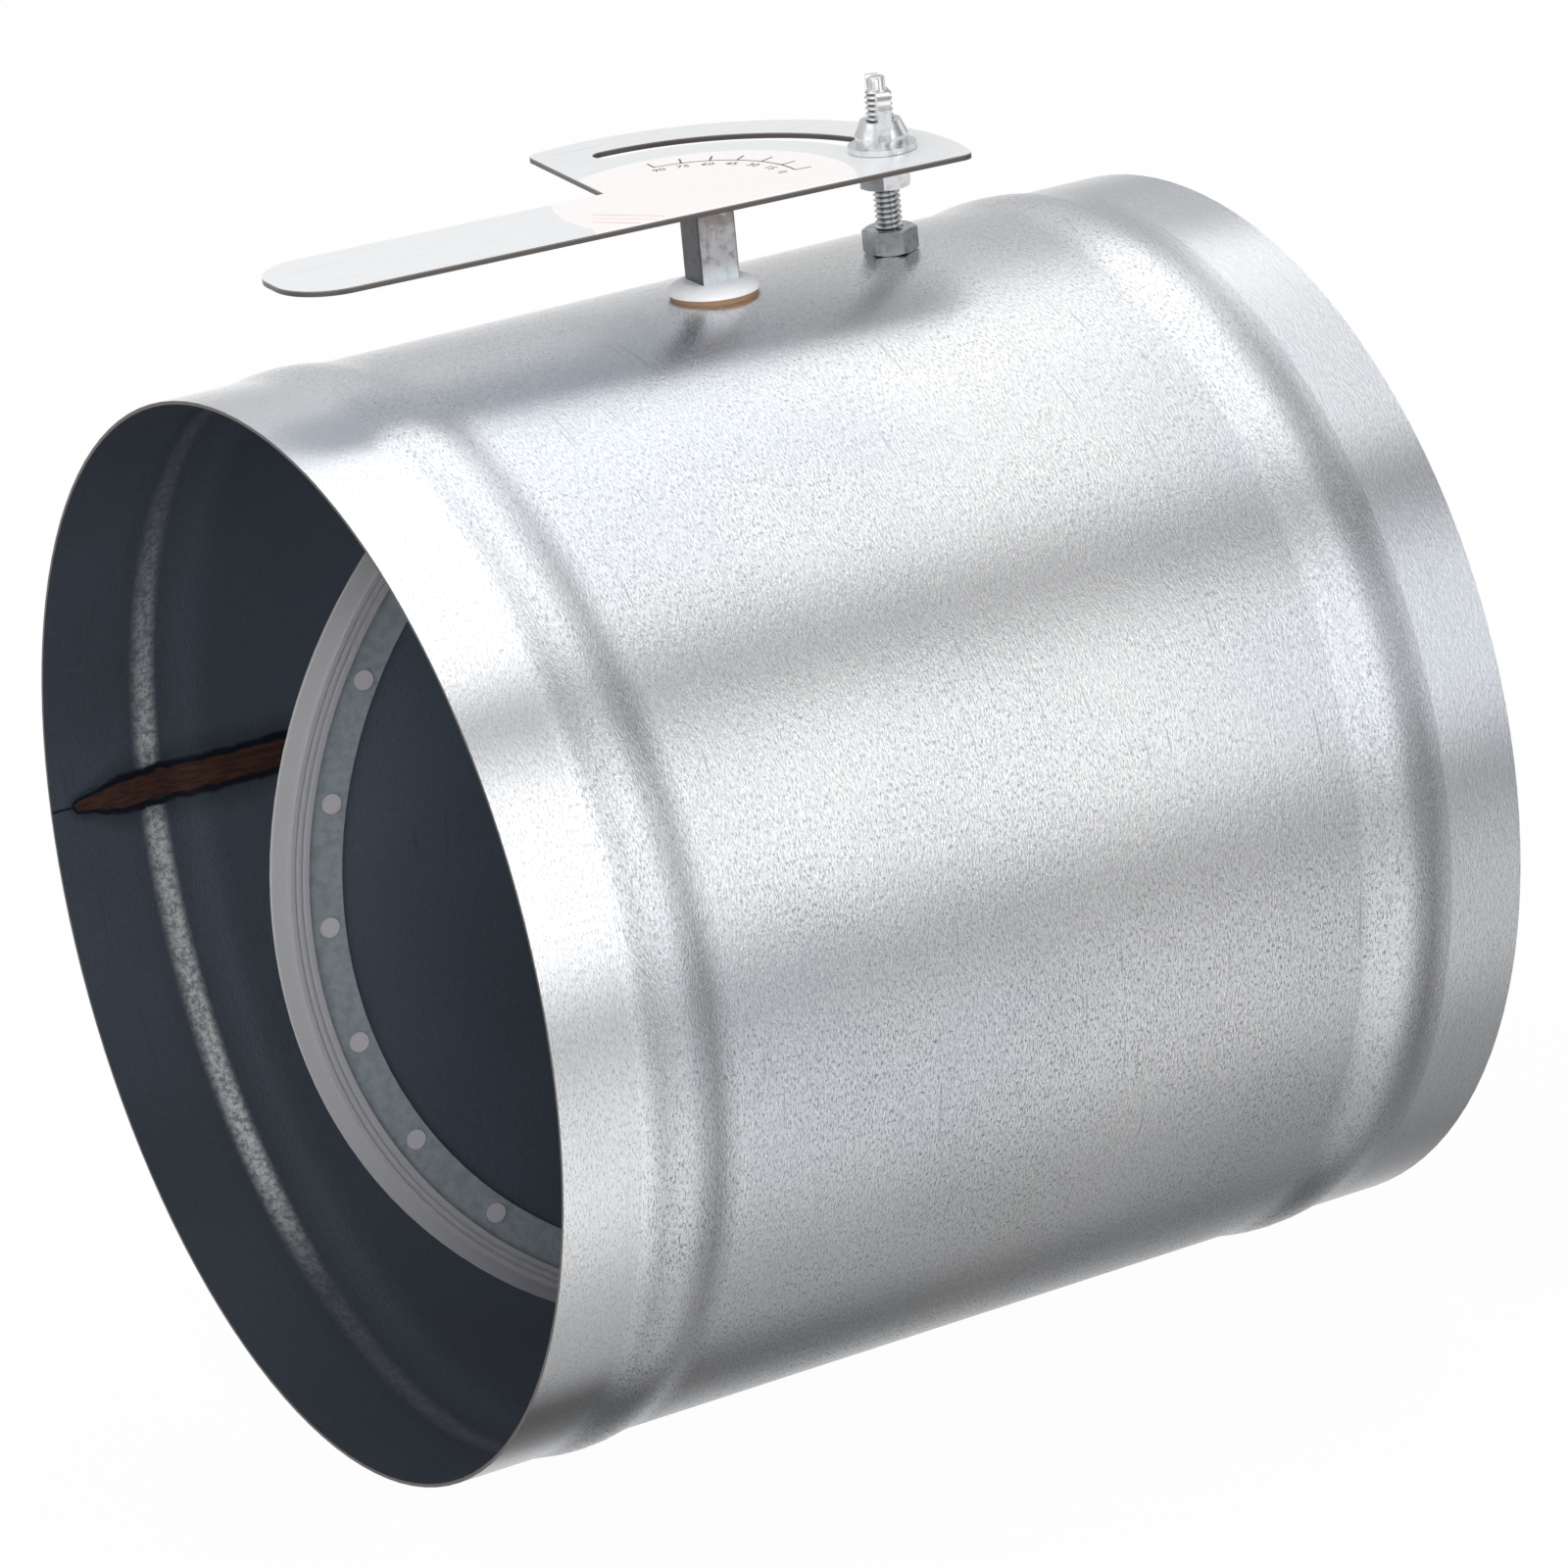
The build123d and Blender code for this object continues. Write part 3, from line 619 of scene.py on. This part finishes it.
def plate_finish(tones):
    """Smooth bright sheet with dark sheared edges and a painted highlight along their top."""
    w, surface, place = new_finish("handle_zinc")
    x, y, z = w.parts(place["Object"])
    sheet = w.place(ROLLED, Vector=w.vector(y, x, z), Colour=rgba(tones.plate),
                    Cast=rgba(tones.plate, 0.95), Fleck=rgba(tones.fleck), Fleck_Amount=0.10,
                    Fleck_Scale=1200.0, Stretch=0.1, Scratch_Amount=0.2,
                    Glint_Amount=FEW_GLINTS, Roughness=0.30)
    flat = w.fade(w.math("ABSOLUTE", w.parts(place["Normal"])[2]), 0.4, 0.7)
    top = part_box("handle_plate")[1].z
    # Painted highlight: a lighter strip along the top of the edges, where a rounded edge would catch light
    edge_highlight = w.fade(z, top - 0.45 * MM, top - 0.15 * MM)
    sheared = w.blend(edge_highlight, rgba(tones.cut_edge), rgba(tones.cut_edge, 2.6))
    tone = w.blend(flat, sheared, sheet["Colour"])
    cover(w, surface, tone, sheet["Roughness"], 0.35, sheet["Height"], 0.01 * MM, 0.25)


def shaft_finish(tones):
    """Drawn bar: brown near the weld at its top, bluish by the duct, with painted shade at its sides."""
    w, surface, place = new_finish("drawn_bar")
    x, y, z = w.parts(place["Object"])
    lines = w.noise(w.vector(x, y, w.times(z, 0.05)), 1500.0, 2.0)
    bar = w.place(PLATED, Vector=place["Object"], Colour=rgba(tones.shaft),
                  Stain=rgba(tones.shaft_stain), Stain_Amount=0.55, Scale=420.0, Roughness=0.30)
    plate_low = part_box("handle_plate")[0].z
    tint = w.fade(z, plate_low - 11 * MM, plate_low - 3 * MM)
    tint = w.times(tint, w.fade(w.noise(place["Object"], 260.0, 2.0), 0.35, 0.6))
    tone = w.blend(w.times(tint, 0.6), bar["Colour"], rgba(tones.shaft_tint))
    # Lighter and bluish towards the duct
    near_duct = w.fade(z, DUCT_R + 9 * MM, DUCT_R + 4 * MM)
    tone = w.blend(w.times(near_duct, 0.8), tone, rgba(tones.shaft_clean))
    tone = w.blend(w.fade(lines, 0.55, 0.8, 0.0, 0.35), tone, rgba(tones.shaft_line))
    # Painted shade on the faces that look along the duct
    facing = w.math("ABSOLUTE", w.parts(place["Normal"])[0])
    tone = w.blend(w.fade(facing, 0.5, 0.8, 0.0, 0.9), tone, rgba(tones.shaft_side))
    cover(w, surface, tone, bar["Roughness"], 0.9, lines, 0.02 * MM, 0.4)


def plated_finish(name, base, stain, amount, roughness, painted_top_highlight=None):
    """Plated steel. Faces that look up, such as chamfers, may take a brighter colour as a painted highlight."""
    w, surface, place = new_finish(name)
    tone = rgba(base)
    if painted_top_highlight:
        # Painted highlight on the faces that look up
        rise = w.parts(place["Normal"])[2]
        tone = w.blend(w.fade(rise, 0.15, 0.6), tone, rgba(painted_top_highlight))
    steel = w.place(PLATED, Vector=place["Object"], Colour=tone, Stain=rgba(stain),
                    Stain_Amount=amount, Scale=520.0, Roughness=roughness)
    cover(w, surface, steel["Colour"], steel["Roughness"], 1.0, steel["Height"], 0.02 * MM, 0.35)


def thread_finish(tones, sizes):
    """Plated thread, bright zinc at its crests and point, with painted shade in its roots."""
    w, surface, place = new_finish("thread_zinc")
    x, y, z = w.parts(place["Object"])
    reach = w.distance(w.minus(x, STUD_X), y)
    crest = sizes.stud_radius
    depth = w.fade(reach, crest - 1.05 * sizes.thread_depth, crest - 0.45 * sizes.thread_depth)
    point_low = BOLT_HIGH.z - sizes.stud_point
    above = w.fade(z, point_low - 1 * MM, point_low)
    # Painted shade: a darker copy of the stud's zinc in the thread's roots
    root = rgba(tones.stud, 0.5)
    tone = w.blend(w.math("MAXIMUM", depth, above), root, rgba(tones.fastener))
    steel = w.place(PLATED, Vector=place["Object"], Colour=tone, Stain=root,
                    Stain_Amount=0.3, Scale=700.0, Roughness=0.16)
    cover(w, surface, steel["Colour"], steel["Roughness"], 1.0, steel["Height"], 0.02 * MM, 0.3)


def finish(name, *nodes):
    """Gives CAD nodes this material."""
    for node in nodes:
        for slot in NODES[node].material_slots:
            slot.material = bpy.data.materials[name]


# Meshes


def solid_piece(name, mesh, material, body, slot_name, *stands_for):
    """Makes an object at the origin that rides on a body."""
    mesh.materials.clear()
    mesh.materials.append(bpy.data.materials[material])
    piece = bpy.data.objects.new(name, mesh)
    bpy.context.scene.collection.objects.link(piece)
    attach(piece, body)
    if stands_for:
        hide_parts(*stands_for)


def smooth_by_angle(mesh, degrees):
    limit = math.radians(degrees)
    shape = bmesh.new()
    shape.from_mesh(mesh)
    bmesh.ops.recalc_face_normals(shape, faces=shape.faces)
    for face in shape.faces:
        face.smooth = True
    for edge in shape.edges:
        edge.smooth = len(edge.link_faces) == 2 and edge.calc_face_angle(0) < limit
    shape.to_mesh(mesh)
    shape.free()


def add_rings(shape, rings):
    """Joins closed rings of points, all of the same count, and caps both ends."""
    made = [[shape.verts.new(point) for point in ring] for ring in rings]
    for low, high in zip(made, made[1:]):
        for i in range(len(low)):
            j = (i + 1) % len(low)
            shape.faces.new((low[i], low[j], high[j], high[i]))
    shape.faces.new(made[0])
    shape.faces.new(made[-1])


def stud_ring(radius, z, count):
    """A ring of points round the stud's axis."""
    turns = [math.tau * i / count for i in range(count)]
    return [(STUD_X + radius * math.cos(turn), radius * math.sin(turn), z) for turn in turns]


# Operators


class DAMPER_OT_finish_duct(bpy.types.Operator):
    """Finish the duct, its seam, gaskets, bushes and retainers"""

    bl_idname = "damper.finish_duct"
    bl_label = "Finish duct"

    def execute(self, context):
        tones = context.scene.damper_colours
        duct_finish(tones)
        finish("duct_zinc", "duct_shell")
        weld_finish(tones)
        finish("heat_tinted_weld", "seam_weld")
        plain_finish("natural_nylon", tones.nylon, 0.38, grain=700.0, shade=0.04)
        finish("natural_nylon", "upper_bush", "lower_bush", "upper_retainer", "lower_retainer")
        plain_finish("brown_fibre", tones.fibre, 0.75, grain=1600.0, shade=0.4)
        finish("brown_fibre", "upper_gasket", "lower_gasket")
        return {"FINISHED"}


class DAMPER_OT_finish_blade(bpy.types.Operator):
    """Finish the blade, its seal, half shafts, rivets and clip"""

    bl_idname = "damper.finish_blade"
    bl_label = "Finish blade"

    def execute(self, context):
        tones = context.scene.damper_colours
        blade_finish(tones)
        finish("blade_zinc", "blade_disc")
        seal_finish(tones)
        finish("clear_silicone", "blade_seal")
        shaft_finish(tones)
        finish("drawn_bar", "upper_shaft", "lower_shaft")
        plated_finish("rivet_steel_plain", tones.rivet, tones.rivet_stain, 0.5, 0.32)
        finish("rivet_steel_plain", "upper_rivets", "lower_rivets")
        plated_finish("spring_steel_dark", tones.spring, tones.spring_stain, 0.5, 0.35)
        finish("spring_steel_dark", "lower_clip")
        return {"FINISHED"}


class DAMPER_OT_finish_handle(bpy.types.Operator):
    """Finish the handle plate, its weld and the film of the scale"""

    bl_idname = "damper.finish_handle"
    bl_label = "Finish handle"

    def execute(self, context):
        tones = context.scene.damper_colours
        plate_finish(tones)
        finish("handle_zinc", "handle_plate")
        plated_finish("handle_weld_steel", tones.fillet, tones.fillet_stain, 0.7, 0.4)
        finish("handle_weld_steel", "handle_weld")
        plain_finish("scale_film", tones.label, 0.45, grain=300.0, shade=0.015, depth=0.01 * MM)
        finish("scale_film", "scale_label")
        return {"FINISHED"}


def scale_tree():
    """Geometry nodes: an arc with marks that stand outward from it."""
    tree = bpy.data.node_groups.new("Scale marks", "GeometryNodeTree")
    face = tree.interface
    for name, kind in (
        ("Marks", "NodeSocketInt"), ("Radius", FLOAT), ("Mark Length", FLOAT),
        ("Line Width", FLOAT), ("Thickness", FLOAT), ("Start", FLOAT), ("End", FLOAT),
        ("Centre", VECTOR),
    ):
        face.new_socket(name=name, in_out="INPUT", socket_type=kind)
    face.new_socket(name="Geometry", in_out="OUTPUT", socket_type="NodeSocketGeometry")
    w = Wiring(tree)
    given = w.add("NodeGroupInput").outputs
    result = w.add("NodeGroupOutput").inputs
    last = w.minus(given["Marks"], 1.0)
    share = w.math("DIVIDE", w.add("GeometryNodeInputIndex").outputs[0], last)
    sweep = w.minus(given["End"], given["Start"])
    turn = w.math("MULTIPLY_ADD", share, sweep, given["Start"])
    middle = w.math("MULTIPLY_ADD", given["Mark Length"], 0.5, given["Radius"])
    spot = w.vector(w.times(w.math("COSINE", turn), middle),
                    w.times(w.math("SINE", turn), middle), 0.0)
    points = w.add("GeometryNodePoints", {"Count": given["Marks"], "Position": spot})
    stroke = w.vector(given["Mark Length"], given["Line Width"], given["Thickness"])
    mark = w.add("GeometryNodeMeshCube", {"Size": stroke})
    turned = w.vector(0.0, 0.0, turn)
    marks = w.add("GeometryNodeInstanceOnPoints", {
        "Points": points.outputs[0], "Instance": mark.outputs["Mesh"], "Rotation": turned})
    arc = w.add("GeometryNodeCurveArc", {
        "Resolution": 96, "Radius": given["Radius"], "Start Angle": given["Start"],
        "Sweep Angle": sweep})
    section = w.add("GeometryNodeCurvePrimitiveQuadrilateral", {
        "Width": given["Line Width"], "Height": given["Thickness"]})
    line = w.add("GeometryNodeCurveToMesh", {
        "Curve": arc.outputs[0], "Profile Curve": section.outputs[0], "Fill Caps": True})
    joined = w.add("GeometryNodeJoinGeometry")
    for piece in (marks, line):
        w.put(joined.inputs[0], piece.outputs[0])
    placed = w.add("GeometryNodeTransform", {
        "Geometry": joined.outputs[0], "Translation": given["Centre"]})
    real = w.add("GeometryNodeRealizeInstances", {"Geometry": placed.outputs[0]})
    w.put(result["Geometry"], real.outputs[0])
    return tree


def mesh_from_tree(tree, values):
    """Runs a geometry tree with these inputs and gives the plain mesh."""
    carrier = bpy.data.objects.new("carrier", bpy.data.meshes.new("carrier"))
    bpy.context.scene.collection.objects.link(carrier)
    modifier = carrier.modifiers.new("tree", "NODES")
    modifier.node_group = tree
    sockets = {item.name: item.identifier for item in tree.interface.items_tree
               if item.in_out == "INPUT"}
    for name, value in values.items():
        modifier[sockets[name]] = value
    depsgraph = bpy.context.evaluated_depsgraph_get()
    mesh = bpy.data.meshes.new_from_object(carrier.evaluated_get(depsgraph))
    bpy.data.objects.remove(carrier)
    return mesh


def number_mesh(text, height, thickness):
    """One number as a thin mesh about the origin, upright along Y."""
    curve = bpy.data.curves.new("number", "FONT")
    curve.body = text
    curve.size = height / DIGIT_SHARE
    curve.extrude = thickness / 2
    curve.align_x = "CENTER"
    curve.align_y = "CENTER"
    curve.resolution_u = 3
    writing = bpy.data.objects.new("number", curve)
    bpy.context.scene.collection.objects.link(writing)
    depsgraph = bpy.context.evaluated_depsgraph_get()
    mesh = bpy.data.meshes.new_from_object(writing.evaluated_get(depsgraph))
    bpy.data.objects.remove(writing)
    return mesh


class DAMPER_OT_print_scale(bpy.types.Operator):
    """Print the scale's arc, marks, numbers and rule on the film"""

    bl_idname = "damper.print_scale"
    bl_label = "Print scale"

    def execute(self, context):
        tones, sizes = context.scene.damper_colours, context.scene.damper_sizes
        plain_finish("scale_ink", tones.ink, 0.4, grain=1500.0, shade=0.3)
        plain_finish("scale_rule_ink", tones.rule, 0.4, grain=1500.0, shade=0.1)
        thick = sizes.scale_ink
        level = Vector((SHAFT_X, 0, LABEL_TOP + thick / 2))
        swing = Matrix.Rotation(HANDLE_SET, 3, "Z")
        centre = level + swing @ Vector((*sizes.scale_centre, 0))
        first, sweep = sizes.scale_start + HANDLE_SET, sizes.scale_end - sizes.scale_start
        marks = mesh_from_tree(scale_tree(), {
            "Marks": sizes.scale_count, "Radius": sizes.scale_radius,
            "Mark Length": sizes.scale_mark, "Line Width": sizes.scale_line,
            "Thickness": thick, "Start": first, "End": first + sweep, "Centre": centre})
        solid_piece("scale_marks", marks, "scale_ink", "blade", "label_film")
        shape = bmesh.new()
        last = sizes.scale_count - 1
        for i in range(sizes.scale_count):
            turn = first + sweep * i / last
            text = str(round(LAST_NUMBER * i / last))
            mesh = number_mesh(text, sizes.number_height, thick)
            spot = Vector((math.cos(turn), math.sin(turn), 0)) * sizes.number_radius
            mesh.transform(Matrix.Translation(centre + spot)
                           @ Matrix.Rotation(turn - math.pi / 2, 4, "Z"))
            shape.from_mesh(mesh)
            bpy.data.meshes.remove(mesh)
        numbers = bpy.data.meshes.new("scale_numbers")
        shape.to_mesh(numbers)
        shape.free()
        solid_piece("scale_numbers", numbers, "scale_ink", "blade", "label_film")
        self.print_rule(level, swing, thick)
        return {"FINISHED"}

    @staticmethod
    def print_rule(level, swing, thick):
        """Three thin lines beside each other near the front of the film."""
        shape = bmesh.new()
        drop = Vector((0, 0, thick / 2))
        for start, end, width in RULE_LINES:
            start, end = Vector((*start, 0)) * MM, Vector((*end, 0)) * MM
            half = (end - start).normalized().yxz * Vector((-1, 1, 0)) * width / 2 * MM
            corners = (start - half, end - half, end + half, start + half)
            base = [level + swing @ corner for corner in corners]
            add_rings(shape, [[p - drop for p in base], [p + drop for p in base]])
        mesh = bpy.data.meshes.new("scale_rule")
        bmesh.ops.recalc_face_normals(shape, faces=shape.faces)
        shape.to_mesh(mesh)
        shape.free()
        solid_piece("scale_rule", mesh, "scale_rule_ink", "blade", "label_film")


class DAMPER_OT_make_fasteners(bpy.types.Operator):
    """Cut the stud's thread and finish the nuts and washers"""

    bl_idname = "damper.make_fasteners"
    bl_label = "Make fasteners"

    def execute(self, context):
        tones, sizes = context.scene.damper_colours, context.scene.damper_sizes
        plated_finish("bright_zinc", tones.fastener, shaded(tones.fastener, 0.45), 0.35, 0.16)
        finish("bright_zinc", "clamp_washer", "wing_nut", "lower_washer", "support_nut",
               "support_washer")
        # Dull zinc with a painted highlight on faces that look up
        plated_finish("dull_zinc", tones.stud, shaded(tones.stud, 0.35), 0.45, 0.14,
                      painted_top_highlight=shaded(tones.stud, 1.6))
        finish("dull_zinc", "bolt_washer", "stud_nut")
        thread_finish(tones, sizes)
        solid_piece("threaded_stud", self.stud_mesh(sizes), "thread_zinc", "duct",
                    "zinc_fastener", "clamp_bolt")
        return {"FINISHED"}

    @staticmethod
    def stud_mesh(sizes):
        """Hexagon head, cut thread and plain point, as two closed shapes."""
        low, top = BOLT_LOW.z, BOLT_HIGH.z
        head_top, thread_top = low + sizes.stud_head, top - sizes.stud_point
        flat_r = sizes.stud_flats / 2
        corner_r = flat_r / math.cos(math.pi / 6)
        head = ((flat_r, low), (corner_r, low + HEAD_CHAMFER), (corner_r, head_top))
        shape = bmesh.new()
        add_rings(shape, [stud_ring(radius, z, 6) for radius, z in head])
        rows = round((thread_top - head_top) / sizes.thread_pitch * STUD_ROWS)
        rings = []
        for row in range(rows + 1):
            z = head_top + (thread_top - head_top) * row / rows
            taper = max(0.0, z - (thread_top - LEAD_OUT))
            ring = []
            for i in range(STUD_COLUMNS):
                turn = math.tau * i / STUD_COLUMNS
                phase = (z / sizes.thread_pitch - i / STUD_COLUMNS) % 1.0
                cut = min(max(abs(phase - 0.5) * FLANK_SLOPE - CREST_SHARE, 0.0), 1.0)
                radius = sizes.stud_radius - max(sizes.thread_depth * cut, taper)
                ring.append((STUD_X + radius * math.cos(turn), radius * math.sin(turn), z))
            rings.append(ring)
        for base, profile in ((thread_top, POINT_FOOT), (top, POINT_TIP)):
            for past, rise in profile:
                radius = sizes.stud_point_radius + past
                rings.append(stud_ring(radius, base + rise, STUD_COLUMNS))
        add_rings(shape, rings)
        mesh = bpy.data.meshes.new("threaded_stud")
        shape.to_mesh(mesh)
        shape.free()
        smooth_by_angle(mesh, 50)
        return mesh


class DAMPER_OT_set_stage(bpy.types.Operator):
    """Set the floor, light and camera"""

    bl_idname = "damper.set_stage"
    bl_label = "Set stage"

    def execute(self, context):
        studio = context.scene.damper_studio
        context.scene.view_settings.view_transform = "Standard"
        self.lay_floor(studio)
        self.light_world(context.scene, studio)
        for name, place, size in LAMPS:
            self.hang_lamp(name, place, size, getattr(studio, name + "_power"))
        data = bpy.data.cameras.new("camera")
        data.lens = studio.lens
        data.sensor_width = 36.0
        data.clip_end = 20.0
        camera = bpy.data.objects.new("camera", data)
        camera.location = studio.camera_place
        camera.rotation_euler = studio.camera_turn
        context.scene.collection.objects.link(camera)
        context.scene.camera = camera
        return {"FINISHED"}

    @staticmethod
    def lay_floor(studio):
        """A pale floor that the camera sees as almost white."""
        z = CAD_BOX[0].z - studio.floor_gap
        corners = [(x * FLOOR_REACH, y * FLOOR_REACH, z)
                   for x, y in ((-1, -1), (1, -1), (1, 1), (-1, 1))]
        mesh = bpy.data.meshes.new("floor")
        mesh.from_pydata(corners, [], [(0, 1, 2, 3)])
        w, surface, _ = new_finish("pale_floor")
        for name, value in (("Base Color", FLOOR_TONE), ("Roughness", 0.9),
                            ("Specular IOR Level", 0.0)):
            w.put(surface.inputs[name], value)
        seen = w.add("ShaderNodeLightPath").outputs["Is Camera Ray"]
        glow = w.add("ShaderNodeEmission", {"Color": (1, 1, 1, 1), "Strength": 1.0})
        share = w.times(seen, FLOOR_WHITE)
        mixed = w.add("ShaderNodeMixShader", {0: share})
        w.put(mixed.inputs[1], surface.outputs[0])
        w.put(mixed.inputs[2], glow.outputs[0])
        w.put(w.tree.nodes["Material Output"].inputs["Surface"], mixed.outputs[0])
        mesh.materials.append(bpy.data.materials["pale_floor"])
        floor = bpy.data.objects.new("floor", mesh)
        bpy.context.scene.collection.objects.link(floor)
        floor.visible_glossy = False

    @staticmethod
    def light_world(scene, studio):
        """Soft boxes along the duct, dimmed towards its ends; the camera sees plain white."""
        world = bpy.data.worlds.new("studio")
        world.use_nodes = True
        world.node_tree.nodes.clear()
        w = Wiring(world.node_tree)
        x, y, z = w.parts(w.add("ShaderNodeTexCoord").outputs["Generated"])
        turn = w.math("ARCTAN2", w.times(y, -1.0), z)
        level = EVEN_LEVEL
        for middle, half, soft, strength in SOFT_BOXES:
            away = w.minus(turn, math.radians(middle))
            away = w.math("ABSOLUTE", w.math("WRAP", away, -math.pi, math.pi))
            start, end = math.radians(half + soft), math.radians(half - soft)
            box = w.fade(away, start, end, 0.0, strength)
            if strength < 0:
                box = w.times(box, w.fade(x, *SHADOW_ENDS))
            level = w.plus(level, box)
        ends = 1.0
        for change in DIMMED_ENDS:
            ends = w.times(ends, w.fade(x, *change))
        for glow in GLOWING_ENDS:
            ends = w.plus(ends, w.fade(x, *glow))
        front = w.fade(y, *FRONT_SHARE)
        dimmed = w.minus(1.0, w.times(front, w.minus(1.0, ends)))
        level = w.times(level, dimmed, studio.light_level)
        seen = w.add("ShaderNodeLightPath").outputs["Is Camera Ray"]
        level = w.math("MULTIPLY_ADD", seen, w.minus(1.0, level), level)
        back = w.add("ShaderNodeBackground", {"Color": (1, 1, 1, 1), "Strength": level})
        output = w.add("ShaderNodeOutputWorld")
        w.put(output.inputs["Surface"], back.outputs[0])
        scene.world = world

    @staticmethod
    def hang_lamp(name, place, size, power):
        """A soft lamp that lights matt surfaces only, aimed at the middle of the duct."""
        data = bpy.data.lights.new(name, "AREA")
        data.shape = "RECTANGLE"
        data.size, data.size_y = size
        data.energy = power
        lamp = bpy.data.objects.new(name, data)
        lamp.location = place
        aim = Vector((SHAFT_X, 0, 0)) - lamp.location
        lamp.rotation_euler = aim.to_track_quat("-Z", "Y").to_euler()
        lamp.visible_glossy = False
        bpy.context.scene.collection.objects.link(lamp)


class DAMPER_PT_panel(bpy.types.Panel):
    """Lists the damper's steps and settings"""

    bl_label = "Damper"
    bl_idname = "DAMPER_PT_panel"
    bl_space_type = "VIEW_3D"
    bl_region_type = "UI"
    bl_category = "Damper"

    def draw(self, context):
        for step in STEPS:
            self.layout.operator(step.bl_idname)
        for group in ("damper_colours", "damper_sizes", "damper_studio"):
            settings = getattr(context.scene, group)
            box = self.layout.box()
            for name in settings.bl_rna.properties.keys():
                if name not in ("rna_type", "name"):
                    box.prop(settings, name)


STEPS = (
    DAMPER_OT_finish_duct,
    DAMPER_OT_finish_blade,
    DAMPER_OT_finish_handle,
    DAMPER_OT_print_scale,
    DAMPER_OT_make_fasteners,
    DAMPER_OT_set_stage,
)
CLASSES = (DamperColours, DamperSizes, DamperStudio, *STEPS, DAMPER_PT_panel)


def register():
    for item in CLASSES:
        bpy.utils.register_class(item)
    bpy.types.Scene.damper_colours = PointerProperty(type=DamperColours)
    bpy.types.Scene.damper_sizes = PointerProperty(type=DamperSizes)
    bpy.types.Scene.damper_studio = PointerProperty(type=DamperStudio)


def unregister():
    del bpy.types.Scene.damper_studio
    del bpy.types.Scene.damper_sizes
    del bpy.types.Scene.damper_colours
    for item in reversed(CLASSES):
        bpy.utils.unregister_class(item)


def main():
    register()
    build_rolled_sheet()
    build_plated_steel()
    build_heat_tint()
    bpy.ops.damper.finish_duct()
    bpy.ops.damper.finish_blade()
    bpy.ops.damper.finish_handle()
    bpy.ops.damper.print_scale()
    bpy.ops.damper.make_fasteners()
    bpy.ops.damper.set_stage()


if __name__ == "__main__":
    main()
